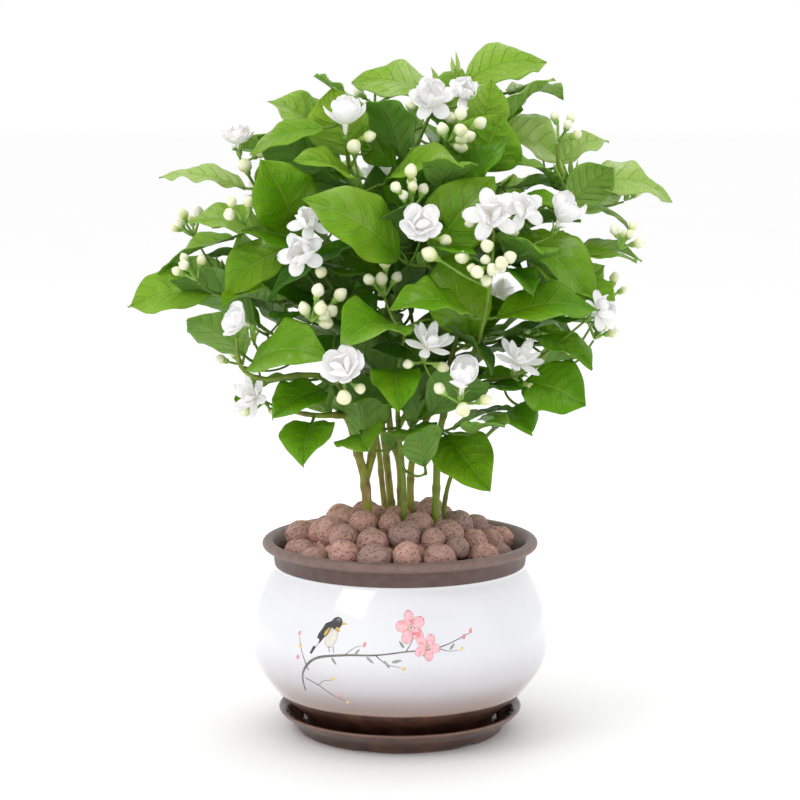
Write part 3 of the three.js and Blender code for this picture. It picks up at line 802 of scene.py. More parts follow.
def leaf_frame(node):
    """Where a CAD leaf starts and ends, how wide it is, and how its upper face looks and arches."""
    points = node_points(node)
    a = points[int(np.argmax(np.linalg.norm(points - points.mean(0), axis=1)))]
    b = points[int(np.argmax(np.linalg.norm(points - a, axis=1)))]
    start, tip = sorted((a, b), key=from_stem)
    ahead = unit(tip - start)
    rest = points - start
    u = rest @ ahead
    across = rest - np.outer(u, ahead)
    side = np.linalg.svd(across - across.mean(0), full_matrices=False)[2][0]
    up = np.cross(side, ahead)
    x, z = across @ side, across @ up
    x = x - (x.max() + x.min()) / 2
    order = np.argsort(u)
    middle = order[np.abs(x[order]) < 0.12 * np.abs(x).max()]
    centre_z = np.interp(u, u[middle], z[middle])
    if (z - centre_z)[np.abs(x) > 0.6 * np.abs(x).max()].mean() < 0:
        up, z, centre_z = -up, -z, -centre_z
    return start, tip, up, 2 * np.abs(x).max(), max(0.03, centre_z.max() / np.linalg.norm(tip - start))


# Each kind of organ draws its random numbers from seeds of its own.
LEAF_SEED, FLOWER_SEED, SECOND_FLOWER_SEED, CLUSTER_SEED = 100, 300, 350, 500
BESIDE_SEED, SIDE_BUDS_SEED, FAT_BUD_SEED, STEM_SEED = 700, 720, 760, 900
EXTRA_FLOWER_SEED, EXTRA_BUDS_SEED, TIP_SEED, FILLING_SEED = 1000, 1100, 1200, 2000
MOUND_SEED, UPPER_BALL_SEED, LOWER_BALL_SEED = 1500, 1600, 1900


def tone_at(place, painted_shade_inside=0.0):
    """Leaves are dark low down and inside, bright in front and pale high up, outside and behind. The darkness
    deep in the crown is painted shade; the paleness high up, outside and behind is partly young growth and
    partly painted light.
    """
    height = smooth(150, 330, place[2])
    behind = smooth(-30, 40, place[1])
    outer = smooth(70, 130, abs(place[0]))
    # painted light: paler high up, outside and behind; painted shade: darker the deeper a leaf lies in the
    # crown
    pale = 0.14 * height + 0.12 * outer + 0.28 * behind * height
    return 0.5 + pale - 0.36 * painted_shade_inside + rng.uniform(-0.07, 0.07)


# How far around a leaf, a flower, a cluster and an extra nothing may stand in front of it.
LEAF_CLEAR, FLOWER_CLEAR, CLUSTER_CLEAR, EXTRA_CLEAR = 15, 24, 22, 17
organs = []  # (middle, clear) of each organ that others keep behind
for number, node in enumerate(LEAF_NODES):
    start, tip, up, width, arch = leaf_frame(node)
    ahead = unit(tip - start)
    middle = (start + tip) / 2
    foot = grow_twig(start, ahead)
    tone = tone_at(middle)
    shapes = leaf(start + ahead * 4.5, tip, up, width * 1.04, arch, tone, LEAF_SEED + number, foot)
    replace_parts(piece("jasmine_" + node, shapes, LEAF, LEAF_VALUES), node)
    organs.append((middle, LEAF_CLEAR))

# ---------------------------------------------------------------- flowers and buds


def petal(centre, axis, out, length, width, lean, bend, cup, seed, faded=0.0):
    """One petal from the flower's middle.

    lean is its angle from the axis at its foot and bend what it turns by the tip, in radians.
    """
    own = np.random.default_rng(seed)
    rows, columns = 9, 7
    s = np.linspace(0, 1, rows)
    angle = lean + bend * s
    step = length / (rows - 1)
    reach = np.concatenate([[0], np.cumsum(np.sin((angle[1:] + angle[:-1]) / 2) * step)])
    rise = np.concatenate([[0], np.cumsum(np.cos((angle[1:] + angle[:-1]) / 2) * step)])
    half = width / 2 * (0.26 + 0.74 * np.sin(np.minimum(1, s / 0.62) * np.pi / 2))
    half = half * np.sqrt(np.clip(1 - np.maximum(0, (s - 0.52) / 0.49) ** 2.2, 0.01, 1))
    t = np.linspace(-1, 1, columns)
    across = np.cross(axis, out)
    inward = np.cos(angle)[:, None] * -out + np.sin(angle)[:, None] * axis
    ripple = own.uniform(-0.05, 0.05, columns) * width
    x = half[:, None] * t
    cupped = cup * width * (np.abs(t) ** 2)[None, :] * np.sin(np.pi * np.minimum(1, s + 0.2))[:, None]
    up = cupped + (s**2)[:, None] * ripple
    mid = centre + reach[:, None] * out + rise[:, None] * axis
    top = mid[:, None] + x[..., None] * across + up[..., None] * inward[:, None]
    uv = np.stack(np.meshgrid(s, (t + 1) / 2, indexing="ij"), axis=2)
    return sheet(top, 0.28, uv, under=False, faded=faded)


def sepals(base, axis, count, length, seed):
    """Thread-like sepals around a calyx."""
    own = np.random.default_rng(seed)
    a, b = pair_across(axis, [0.31, 0.2, 0.93])
    made = []
    for i in range(count):
        turn = 2 * np.pi * (i + own.uniform(-0.25, 0.25)) / count
        out = around(a, b, turn)
        size = length * own.uniform(0.75, 1.15)
        path = spline([
            base + out * 1.2, base + out * (0.3 * size) + axis * 0.42 * size,
            base + out * (0.62 * size) + axis * 0.66 * size,
        ], 1.6)
        made.append(tube(path, np.linspace(0.42, 0.12, len(path)), 4, tone=0.3))
    return made


def calyx(foot, base, axis, seed, sepal_count=7, sepal_length=7.5):
    """A green cup at base with its sepals, on a stalk that comes from foot."""
    reach = np.linalg.norm(base - foot)
    sag = (foot + base) / 2 - axis * 0.02 * reach + UP * -0.03 * reach
    path = spline([foot, sag, base - axis * 1.5, base], 1.5)
    radii = np.interp(np.linspace(0, 1, len(path)), [0, 0.7, 1], [0.85, 0.75, 0.95])
    cup_path = base + np.linspace(-0.8, 3.0, 6)[:, None] * axis
    cup = tube(cup_path, [0.7, 1.35, 1.7, 1.75, 1.65, 1.5], 10, tone=0.25)
    threads = sepals(base + axis * 1.8, axis, sepal_count, sepal_length, seed)
    return [tube(path, radii, 7, tone=0.1), cup] + threads


FLOWER_WIDTH = 25
FLOWER_STYLES = {
    # whorls: petals, length, width, lean, bend, cup, all for a flower FLOWER_WIDTH across
    "open": [
        (5, 12.4, 7.6, 1.3, 0.1, 0.12),
        (3, 14.0, 12.0, 1.4, -2.1, 0.24),
        (3, 12.4, 10.4, 1.3, -2.2, 0.24),
    ],
    "globe": [
        (5, 13.6, 12.0, 1.4, -0.9, 0.2),
        (4, 13.6, 11.6, 1.35, -1.5, 0.22),
        (3, 12.4, 10.4, 1.3, -2.2, 0.24),
    ],
    "star": [
        (6, 13.4, 5.4, 1.2, -0.15, 0.14),
        (5, 12.2, 5.0, 0.74, -0.2, 0.16),
        (3, 10.4, 6.2, 0.9, -1.5, 0.24),
    ],
    "cup": [
        (2, 15.0, 9.2, 1.3, -0.9, 0.18),
        (4, 16.8, 13.2, 1.25, -1.75, 0.24),
        (3, 15.0, 11.0, 1.2, -1.9, 0.24),
    ],
}


def flower(name, centre, axis, width, style, seed, foot, cad=None, faded=0.0):
    """A double flower that looks along axis, with its calyx and stalk."""
    own = np.random.default_rng(seed)
    k = width / FLOWER_WIDTH
    a, b = pair_across(axis, [0.2, 0.3, 0.93])
    heart = centre - axis * 4.5 * k
    petals = []
    for level, (count, length, wide, lean, bend, cup) in enumerate(FLOWER_STYLES[style]):
        offset = own.uniform(0, 6.3)
        for i in range(count):
            turn = offset + 2 * np.pi * (i + own.uniform(-0.17, 0.17)) / count
            out = around(a, b, turn)
            petals.append(petal(
                heart + axis * 0.5 * level * k + out * (1.2 - 0.3 * level) * k, axis, out,
                length * k * own.uniform(0.88, 1.08), wide * k * own.uniform(0.88, 1.12),
                lean + own.uniform(-0.12, 0.12), bend + own.uniform(-0.18, 0.18),
                cup, int(own.integers(1e6)), faded,
            ))
    tube_path = heart + np.linspace(-7, 1, 5)[:, None] * axis * k
    corolla_tube = tube(tube_path, np.array([1.15, 1.2, 1.3, 1.5, 2.0]) * k, 10, faded=faded)
    made = piece(name, petals + [corolla_tube], PETAL, ("faded",))
    if cad:
        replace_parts(made, cad)
    green = calyx(foot, heart - axis * 8.5 * k, axis, seed + 1)
    piece(name + "_calyx", green, GREEN, ("tone",))


def flower_frame(node):
    """The middle of a CAD flower, the way it faces and its width, from its petals' tips."""
    points = np.unique(np.round(node_points(node), 2), axis=0)
    foot = stalk_end(points)
    body = points[np.linalg.norm(points - foot, axis=1) > 5]
    middle = body.mean(0)
    tips = body[np.argsort(-np.linalg.norm(body - middle, axis=1))[:12]]
    centre = tips.mean(0)
    axis = np.linalg.svd(tips - centre, full_matrices=False)[2][2]
    if np.dot(axis, centre - foot) < 0:
        axis = -axis
    return foot, centre, axis, 2 * np.linalg.norm(tips - centre, axis=1).max()


STYLE_OF = {
    "flower_crown": "open", "flower_upper_left": "cup", "flower_far_left": "globe", "flower_left": "open",
    "flower_centre": "globe", "flower_right": "open", "flower_front_left": "globe",
    "flower_front_centre": "star", "flower_front_right": "cup", "flower_low_right": "star",
    "flower_low_left": "star",
}
flowers = []  # (centre, axis, width, name)
for number, node in enumerate(FLOWER_NODES):
    foot, centre, axis, width = flower_frame(node)
    start = grow_twig(foot, axis)
    faded = 0.4 if node == "flower_far_left" else 0.0
    style = STYLE_OF[node]
    flower("jasmine_" + node, centre, axis, width, style, FLOWER_SEED + number, start, node, faded)
    organs.append((centre, FLOWER_CLEAR))
    flowers.append((centre, axis, width, node))

# Three of them share their stalk with a second flower.
SECOND_FLOWERS = {"flower_crown": (18, 6, 3), "flower_right": (17, 5, 2), "flower_left": (4, 7, 17)}
for number, (centre, axis, width, node) in enumerate(flowers):
    if node in SECOND_FLOWERS:
        offset = np.array(SECOND_FLOWERS[node], float)
        facing = unit(axis + 0.35 * unit(offset))
        foot = centre - axis * 13
        seed = SECOND_FLOWER_SEED + number
        flower("second_" + node, centre + offset, facing, 0.84 * width, "open", seed, foot)


BUD_SHARE = 0.9  # of the radius that a bud is given; its furled edges stand out past it


def bud(foot, middle, radius, seed, ripe):
    """A closed bud on its stalk: a furled ovoid and its green parts."""
    own = np.random.default_rng(seed)
    radius = radius * BUD_SHARE
    axis = unit(middle - foot)
    axis = unit(axis + own.normal(0, 0.12, 3))
    a, b = pair_across(axis, [0.3, 0.2, 0.9])
    rows, sides = 13, 16
    t = np.linspace(0, 1, rows)[:, None]
    turn = np.linspace(0, 2 * np.pi, sides, endpoint=False)[None, :]
    body = radius * np.sin(np.pi * np.clip(t, 0.03, 0.985)) ** 0.56 * (1 - 0.1 * t)
    furl = 1 + 0.075 * np.cos(3 * turn + 4.2 * t + own.uniform(0, 6)) * smooth(0.1, 0.4, t)
    risen = (t - 0.5) * radius * own.uniform(2.15, 2.5)
    ring = middle + risen[..., None] * axis + (body * furl * np.cos(turn))[..., None] * a
    ring = ring + (body * furl * np.sin(turn))[..., None] * b
    along = np.broadcast_to(t, (rows, sides)).ravel()
    shape = Shape(ring.reshape(-1, 3), closed_strip(rows, sides), along=along, ripe=ripe)
    base = middle - axis * radius * 1.25
    return shape, calyx(foot, base - axis * 0.9, axis, seed + 7, 6, radius * 1.5)


def buds(name, foot, middles, radii, seed, cad=None):
    """A cluster of buds whose stalks all come from foot."""
    white, green = [], []
    for i, (middle, radius) in enumerate(zip(middles, radii)):
        body, parts = bud(foot, middle, radius, seed + 13 * i, ripe=(i * 0.37) % 1)
        white.append(body)
        green += parts
    made = piece(name, white, BUD, ("along", "ripe"))
    if cad:
        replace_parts(made, cad)
    piece(name + "_calyxes", green, GREEN, ("tone",))


STALK_CLEAR = 4.5  # points closer than this to a cluster's foot belong to its stalks
BUD_DEPTH, BUD_REACH = 4.6, 6.2  # how far a bud's middle lies below its tip, and its farthest point
BUD_RADII = (3.0, 3.9)


def bud_cluster_frame(node):
    """The foot of a CAD cluster and each bud's middle and radius, found from its outermost points inwards."""
    points = np.unique(np.round(node_points(node), 2), axis=0)
    foot = stalk_end(points)
    left = points[np.linalg.norm(points - foot, axis=1) > STALK_CLEAR]
    middles, radii = [], []
    while len(left) > 5:
        tip = left[int(np.argmax(np.linalg.norm(left - foot, axis=1)))]
        guess = tip - unit(tip - foot) * BUD_DEPTH
        near = np.linalg.norm(left - guess, axis=1) < BUD_REACH
        middles.append(left[near].mean(0))
        spread = left[near] - left[near].mean(0)
        axis = unit(tip - foot)
        radii.append(np.linalg.norm(spread - np.outer(spread @ axis, axis), axis=1).max())
        left = left[~near]
    return foot, middles, [min(BUD_RADII[1], max(BUD_RADII[0], 0.95 * r)) for r in radii]


for number, node in enumerate(BUD_NODES):
    foot, middles, radii = bud_cluster_frame(node)
    start = grow_twig(foot, UP)
    if np.linalg.norm(start - foot) >= 4:
        start = foot
    buds("jasmine_" + node, start, middles, radii, CLUSTER_SEED + 40 * number, node)
    organs.append((np.mean(middles, axis=0), CLUSTER_CLEAR))

# Each open flower has a bud or two beside it. Under a closed one there is a fat one.
for number, (centre, axis, width, node) in enumerate(flowers):
    own = np.random.default_rng(BESIDE_SEED + number)
    side = unit(np.cross(axis, UP) if abs(axis[2]) < 0.9 else np.cross(axis, [0, 1, 0]))
    foot = centre - axis * 15
    middles, radii = [], []
    for i in range(1 + number % 2):
        out = side * (1 if i % 2 else -1) * own.uniform(0.5, 1) - UP * own.uniform(0.1, 0.9)
        middles.append(foot + unit(out) * own.uniform(11, 14) + axis * own.uniform(6, 11))
        radii.append(own.uniform(2.8, 3.6))
    buds("side_buds_" + node[7:], foot, middles, radii, SIDE_BUDS_SEED + 9 * number)
    if STYLE_OF[node] in ("cup", "globe"):
        middle = centre - UP * 16 + side * own.uniform(-5, 5) - [0, 3, 0]
        below = nearest(middle - UP * 12)[0]
        buds("fat_bud_" + node[7:], below, [middle], [4.4], FAT_BUD_SEED + 9 * number)

# ---------------------------------------------------------------- leaves that fill the crown


def crown_hull():
    """The planes of the convex hull around all of the frame's leaves and flowers."""
    shell = bmesh.new()
    for node in LEAF_NODES + FLOWER_NODES + BUD_NODES:
        for point in node_points(node):
            shell.verts.new(point)
    found = bmesh.ops.convex_hull(shell, input=shell.verts)
    faces = [f for f in found["geom"] if isinstance(f, bmesh.types.BMFace)]
    for face in faces:
        face.normal_update()
    normals = np.array([f.normal[:] for f in faces])
    places = np.array([f.verts[0].co[:] for f in faces])
    middle = np.array([v.co[:] for v in shell.verts]).mean(0)
    flip = np.einsum("ij,ij->i", normals, middle - places) > 0
    normals[flip] *= -1
    shell.free()
    return normals, np.einsum("ij,ij->i", normals, places)


HULL_NORMALS, HULL_OFFSETS = crown_hull()


def depth_in_crown(points):
    """How far inside the hull each point is."""
    return (HULL_OFFSETS - np.atleast_2d(points) @ HULL_NORMALS.T).min(axis=1)


FILL_LEAVES = 156
TRUNKS_SHOW_BELOW = 152
TRUNKS_END_Z, TRUNKS_R = 172, 38  # below this height, filling leaves keep outside this radius
CROWN_DEPTH = 7  # how far inside the hull a filling leaf's middle stays, and a white extra's is at most
ANY_DEPTH = 200
EXTRA_TRIES, FILL_TRIES = 7000, 12000


def crown_candidates(count, low, high, shallow, deep):
    """Random places in the crown between two depths below its hull.

    Those that would hide what the frame places are left out.
    """
    places = rng.uniform(low, high, (count, 3))
    depth = depth_in_crown(places)
    keep = (depth > shallow) & (depth < deep)
    places, depth = places[keep], depth[keep]
    for middle, clear in organs:
        near = (np.abs(places[:, 0] - middle[0]) < clear) & (np.abs(places[:, 2] - middle[2]) < clear)
        hides = near & (places[:, 1] < middle[1] + 5)
        places, depth = places[~hides], depth[~hides]
    return places, depth


def spread(places, taken, count, weight=1.0):
    """Picks places one by one, each as far as it can be from those already taken."""
    gap = np.min(np.linalg.norm(places[:, None] - np.array(taken)[None], axis=2), axis=1)
    for _ in range(count):
        pick = int(np.argmax(gap * weight))
        gap = np.minimum(gap, np.linalg.norm(places - places[pick], axis=1))
        yield pick


def outward(place):
    """The way a shoot at this place grows out of the crown."""
    return unit((place - [0, 6, min(place[2] - 30, 300)]) * [1, 1, 0.6])


# More flowers and clusters of buds, spread over the outside of the crown.
WHITE_EXTRAS = 21
EXTRA_FLOWERS = (0, 3, 6, 10, 13, 16, 19)  # which of them are flowers
low, high = np.array([-130, -104, 185]), np.array([130, 100, 362])
places = crown_candidates(EXTRA_TRIES, low, high, 1, CROWN_DEPTH)[0]
front = np.where(places[:, 1] < 0, 1.25, 1.0)
white = [centre for centre, _, _, _ in flowers]
white += [np.array(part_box(n)[0].lerp(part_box(n)[1], 0.5)) / MM for n in BUD_NODES]
for number, pick in enumerate(spread(places, white, WHITE_EXTRAS, front)):
    place = places[pick]
    axis = unit(outward(place) + UP * 0.5 + rng.normal(0, 0.2, 3))
    if number in EXTRA_FLOWERS:
        foot = grow_twig(place - axis * 13, axis)
        style = ("cup", "open", "star", "globe")[number % 4]
        width, seed = rng.uniform(21, 26), EXTRA_FLOWER_SEED + number
        flower(f"open_flower_{number:02d}", place, axis, width, style, seed, foot)
    else:
        axis = unit(axis + UP * 0.9)
        foot = place - axis * 6
        grow_twig(foot, axis)
        count = int(rng.integers(3, 6))
        across, other = pair_across(axis, [0.2, 0.1, 0.95])
        middles = [foot + axis * 14]
        for i in range(1, count):
            turn = 2 * np.pi * i / (count - 1) + number
            risen = foot + axis * rng.uniform(6, 11)
            middles.append(risen + around(across, other, turn) * rng.uniform(7, 9.5))
        radii, seed = rng.uniform(2.6, 3.7, count), EXTRA_BUDS_SEED + 20 * number
        buds(f"bud_cluster_{number:02d}", foot, middles, radii, seed)
    organs.append((place, EXTRA_CLEAR))

low, high = np.array([-140, -84, TRUNKS_SHOW_BELOW]), np.array([140, 98, 368])
places, depth = crown_candidates(FILL_TRIES, low, high, CROWN_DEPTH, ANY_DEPTH)
clear_of_trunks = (places[:, 2] > TRUNKS_END_Z) | (np.hypot(places[:, 0], places[:, 1]) > TRUNKS_R)
places, depth = places[clear_of_trunks], depth[clear_of_trunks]
filling = []  # (where it is, its shapes)
for number, pick in enumerate(spread(places, [m for m, _ in organs], FILL_LEAVES)):
    # how deep in the crown the leaf lies, for the painted shade that darkens its tone
    place, painted_shade_inside = places[pick], smooth(10, 42, depth[pick])
    ahead = unit(outward(place) + rng.normal(0, 0.34, 3) + UP * 0.05)
    up = unit(UP * 0.75 + outward(place) * 0.45 + rng.normal(0, 0.26, 3))
    length = rng.uniform(40, 58)
    base, tip = place - ahead * length * 0.5, place + ahead * length * 0.5
    if depth_in_crown(tip)[0] < -3:
        tip = place + ahead * length * 0.3
    foot = grow_twig(base - ahead * 6, ahead)
    width = length * rng.uniform(0.52, 0.64)
    arch = rng.uniform(0.06, 0.15)
    tone = tone_at(place, painted_shade_inside)
    filling.append((place, leaf(base, tip, up, width, arch, tone, FILLING_SEED + number, foot)))

# Neighbouring leaves are made as pairs, as they grow.
number = 0
while filling:
    place, shapes = filling.pop(0)
    if filling:
        other = min(range(len(filling)), key=lambda i: np.linalg.norm(filling[i][0] - place))
        shapes = shapes + filling.pop(other)[1]
    piece(f"leaf_pair_{number:02d}", shapes, LEAF, LEAF_VALUES)
    number += 1


def shoot_tip(foot, axis, length, seed):
    """The folded young leaves at the end of a shoot."""
    own = np.random.default_rng(seed)
    a, b = pair_across(axis, [0.4, 0.8, 0.1])
    path = spline([foot, foot + axis * length * 0.3], 1.5)
    made = [tube(path, np.linspace(0.8, 0.6, len(path)), 7, tone=0.6)]
    base = foot + axis * length * 0.28
    for i, share in enumerate((1.0, 0.8, 0.45)):
        turn = own.uniform(0, 6.3) if i == 0 else turn + 2.2
        out = around(a, b, turn)
        rows, columns = 10, 7
        s = np.linspace(0, 1, rows)[:, None]
        t = np.linspace(-1, 1, columns)[None, :]
        half = 0.12 * length * share * np.sin(np.pi * np.clip(s, 0.04, 0.97) ** 0.75)
        across = np.cross(axis, out)
        reach = length * 0.7 * share * s
        lean = length * (0.06 + 0.14 * i) * share * s**1.4
        away = lean + 0.9 * half * np.abs(t) ** 1.3 - 0.4
        top = base + reach[..., None] * axis + away[..., None] * out + (half * t)[..., None] * across
        uv = np.stack(np.broadcast_arrays(s, (t + 1) / 2), axis=2)
        made.append(sheet(top, 0.3, uv, under=False, tone=0.75))
    return made


# A shoot ends beside each of these leaves.
TIP_LEAVES = [
    "crown_right", "crown_left", "far_left", "lowest_tip_left", "arched_right",
    "small_right", "far_right", "low_right", "rear_top", "rear_low",
]
for number, node in enumerate(TIP_LEAVES):
    start, tip = leaf_frame("leaf_" + node)[:2]
    axis = unit(UP + unit(tip - start) * (0.3 if number % 2 else -0.25) + rng.normal(0, 0.12, 3))
    room = (CAD_BOX[1][2] / MM + 4 - start[2]) / max(axis[2], 0.5)
    length = min(room, rng.uniform(17, 24))
    shapes = shoot_tip(start - axis * 2, axis, length, TIP_SEED + number)
    piece(f"shoot_tip_{number}", shapes, GREEN, ("tone",))

# ---------------------------------------------------------------- stems


def stem_shape(shoot, seed):
    """One shoot with swollen nodes, a little unevenness and bark values for its material."""
    own = np.random.default_rng(seed)
    path, radii, wood = shoot["path"], shoot["radii"], shoot["wood"]
    run = np.concatenate([[0], np.cumsum(np.linalg.norm(np.diff(path, axis=0), axis=1))])
    spacing = own.uniform(20, 28)
    from_node = np.abs((run + own.uniform(0, spacing)) % spacing - spacing / 2)
    knot = np.exp(-((from_node / 1.8) ** 2)) * (radii > 0.9)
    sides = 12 if radii[0] > 1.4 else 8
    rough = 1 + 0.22 * knot[:, None] + own.normal(0, 0.035, (len(path), sides)) * wood[:, None]
    turn = np.linspace(0, 2 * np.pi, sides, endpoint=False)
    ridge = 1 + 0.05 * np.cos(turn * 4 + run[:, None] * 0.03) * wood[:, None]
    return tube(path, radii[:, None] * rough * ridge, sides, wood=wood, knot=knot)


for number, stem in enumerate(STEMS):
    own_shoots = [shoot for shoot in shoots if shoot["stem"] == stem]
    shapes = [stem_shape(shoot, STEM_SEED + 50 * number + i) for i, shoot in enumerate(own_shoots)]
    made = piece("jasmine_" + stem, shapes, BARK, ("wood", "knot"))
    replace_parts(made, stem)

# ---------------------------------------------------------------- pot, saucer, soil and clay balls

POT_BELLY = [
    (50.5, 5.2), (51.6, 6.5), (54.8, 10.5), (60.6, 16), (67, 21), (73.2, 28), (79, 36.5),
    (82.6, 46), (83.6, 56), (82.2, 66), (78.3, 76.5), (72.9, 86.5), (68.9, 92.6),
]
POT_COLLAR = [
    (69.6, 93.3), (69.9, 95), (70.3, 97.8), (71.8, 101), (74.4, 102.4), (76, 103.6),
    (76.4, 105.2), (75.8, 106.6), (74.6, 107.4), (73.2, 107.6), (71.8, 107.3), (70.6, 106.6),
]
POT_INSIDE = [
    (69.4, 104.4), (66.6, 99), (65.2, 93.6), (68.6, 86), (73.8, 76),
    (77.6, 66), (79, 56), (74.6, 37.8), (62, 23.2), (45, 11.2),
]
POT_UNDERSIDE = [(7, 11.2), (7, 7.2), (44.5, 7.2), (44.5, 5.2)]  # the drain hole and the foot ring


def rounded(points, step):
    """A smooth profile through the points, sampled about every step."""
    return spline([(r, 0, z) for r, z in points], step)[:, [0, 2]]


POT_SURFACE = rounded(POT_BELLY, 1.2)
profile = np.vstack([
    POT_SURFACE, rounded(POT_COLLAR, 0.75), rounded(POT_INSIDE, 3.0), POT_UNDERSIDE, POT_SURFACE[:1],
])
pot = piece("glazed_pot", [turned(profile, 160)], pot_material())
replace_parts(pot, "pot")

SAUCER_PROFILE = [
    (0.4, 1.6), (48, 1.6), (49.4, 1.2), (49.4, 0.5), (50, 0), (56.4, 0), (57.3, 0.6), (57.8, 1.8),
    (58.3, 3), (59.6, 5), (61, 6.2), (62.6, 7.2), (65.6, 9.6), (67.2, 11.2), (67.7, 11.8),
    (67.8, 12.3), (67.4, 12.8), (66.6, 12.9), (65.4, 12.5), (63.6, 10.9), (61.4, 9), (59.5, 7.7),
    (57.6, 6.5), (56, 5.7), (54.4, 5.1), (52.6, 4.9), (0.4, 4.9),
]
SAUCER_FOOT_R = 57
FOOT_RING = (48.5, 58)  # the radii between which the foot ring lies
FOOT_RING_TOP = 1.6
# A notch parts each foot from the next. One is 19 degrees left of the front.
SAUCER_FEET, NOTCH_HALF, NOTCH_RISE, NOTCH_TURN = 6, 7.5, 1.5, math.radians(-109)
RIB_COUNT = 44
RIB_PROFILE = [(54.6, 4.9), (57.6, 6.3), (60.6, 8.3), (63.2, 10.5)]


def arches(points, turn):
    """Lifts the foot ring in a low arch at each notch."""
    half_foot = np.pi / SAUCER_FEET
    from_notch = (turn - NOTCH_TURN + half_foot) % (2 * half_foot) - half_foot
    rise = NOTCH_RISE * np.sqrt(np.clip(1 - (from_notch * SAUCER_FOOT_R / NOTCH_HALF) ** 2, 0, 1))
    radius = np.hypot(points[..., 0], points[..., 1])
    on_ring = (radius > FOOT_RING[0]) & (radius < FOOT_RING[1]) & (points[..., 2] < FOOT_RING_TOP)
    points = points.copy()
    points[..., 2] = np.where(on_ring, np.maximum(points[..., 2], rise), points[..., 2])
    return points


SAUCER_GLAZE = saucer_material()
saucer = piece("glazed_saucer", [turned(SAUCER_PROFILE, 216, arches)], SAUCER_GLAZE)
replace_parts(saucer, "saucer")


def saucer_ribs():
    """Low ribs up the inside of the saucer's wall."""
    ribs = []
    for i in range(RIB_COUNT):
        turn = 2 * math.pi * (i + 0.5) / RIB_COUNT
        out = np.array([math.cos(turn), math.sin(turn), 0])
        path = spline([out * r + UP * z for r, z in RIB_PROFILE], 1.5)
        ribs.append(tube(path, np.linspace(1.9, 1.2, len(path)), 6))
    return ribs


piece("saucer_ribs", saucer_ribs(), SAUCER_GLAZE)

NODES["soil"].data.materials.clear()
NODES["soil"].data.materials.append(soil_material())


def ripples(points, own, low, high, close):
    """Waves over a ball, in a random direction. close is how close together they run."""
    return own.uniform(low, high) * np.sin(points @ own.normal(0, close, 3) + own.uniform(0, 6.3))


def distance_to_any(points, own):
    """Each point's distance to one random place on a ball."""
    return np.linalg.norm(points - unit(own.normal(0, 1, 3)), axis=1)


def ball(place, radius, seed, detail):
    """One irregular clay ball."""
    own = np.random.default_rng(seed)
    bm = bmesh.new()
    bmesh.ops.create_icosphere(bm, subdivisions=detail, radius=1)
    points = np.array([v.co[:] for v in bm.verts])
    faces = [tuple(v.index for v in f.verts) for f in bm.faces]
    bm.free()
    lumps = sum(ripples(points, own, 0.008, 0.022, 2.6) for _ in range(5))
    pitted = sum(ripples(points, own, 0.006, 0.014, 9) for _ in range(5))
    dents = sum(-0.05 * np.exp(-((distance_to_any(points, own) / 0.28) ** 2)) for _ in range(3))
    squash = own.uniform(0.91, 1.06, 3)
    uneven = points * (1 + lumps + pitted + dents)[:, None] * squash
    return Shape(place + uneven * radius, faces, grey=own.choice([0.1, 0.25, 0.5, 1.0]))


SETTLING_ROUNDS = 160
EDGE_ROOM = 6.6  # how far past the reach a disc's far side may go


def scatter(count, reach, radii, avoid, seed):
    """Places discs in a circle and pushes them apart from each other and from the stems."""
    own = np.random.default_rng(seed)
    share = np.sqrt((np.arange(count) + 0.5) / count)
    turn = np.arange(count) * GOLDEN_ANGLE
    at = np.stack([np.cos(turn), np.sin(turn)], axis=1) * (share * reach)[:, None]
    at = at + own.normal(0, 1.5, (count, 2))
    for _ in range(SETTLING_ROUNDS):
        apart = at[:, None] - at[None]
        distance = np.linalg.norm(apart, axis=2) + np.eye(count) * 1e3
        overlap = np.maximum(0, (radii[:, None] + radii[None]) * 1.01 - distance)
        at = at + (apart / distance[..., None] * overlap[..., None]).sum(1) * 0.3
        for foot, wide in avoid:
            away = at - foot
            gap_to = np.linalg.norm(away, axis=1)
            short = np.maximum(0, radii * 0.9 + wide - gap_to)
            at = at + away / gap_to[:, None] * short[:, None] * 0.6
        far = np.linalg.norm(at, axis=1)
        limit = reach + EDGE_ROOM - radii
        at = np.where((far > limit)[:, None], at / far[:, None] * limit[:, None], at)
    return at


BED_REACH = (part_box("clay_balls")[1].x / MM) - 6.0
stem_feet = [(np.array(paths[0][1][:2], float), radius) for radius, paths in STEMS.values()]
UPPER_BALLS, LOWER_BALLS = 50, 56
UPPER_TOP_Z, UPPER_DROP = 118, 15.5  # the middle ball's centre, and how far the edge lies below it
LOWER_TOP_Z, LOWER_DROP = 108.5, 14
upper_radii = np.random.default_rng(5).uniform(6.7, 9.1, UPPER_BALLS)
upper = scatter(UPPER_BALLS, BED_REACH, upper_radii, stem_feet, 6)
lower_radii = np.random.default_rng(8).uniform(6.6, 8.2, LOWER_BALLS)
lower = scatter(LOWER_BALLS, BED_REACH, lower_radii, stem_feet, 9)
balls = []
for i, (at, radius) in enumerate(zip(upper, upper_radii)):
    own = np.random.default_rng(MOUND_SEED + i)
    mound = UPPER_TOP_Z - UPPER_DROP * (np.linalg.norm(at) / BED_REACH) ** 3
    balls.append(ball(np.array([*at, mound + own.uniform(-3, 3)]), radius, UPPER_BALL_SEED + i, 4))
for i, (at, radius) in enumerate(zip(lower, lower_radii)):
    mound = LOWER_TOP_Z - LOWER_DROP * (np.linalg.norm(at) / BED_REACH) ** 3
    balls.append(ball(np.array([*at, mound]), radius, LOWER_BALL_SEED + i, 3))
clay = piece("clay_ball_dressing", balls, CLAY, ("grey",))
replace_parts(clay, "clay_balls")

# ---------------------------------------------------------------- painted spray on the pot's front

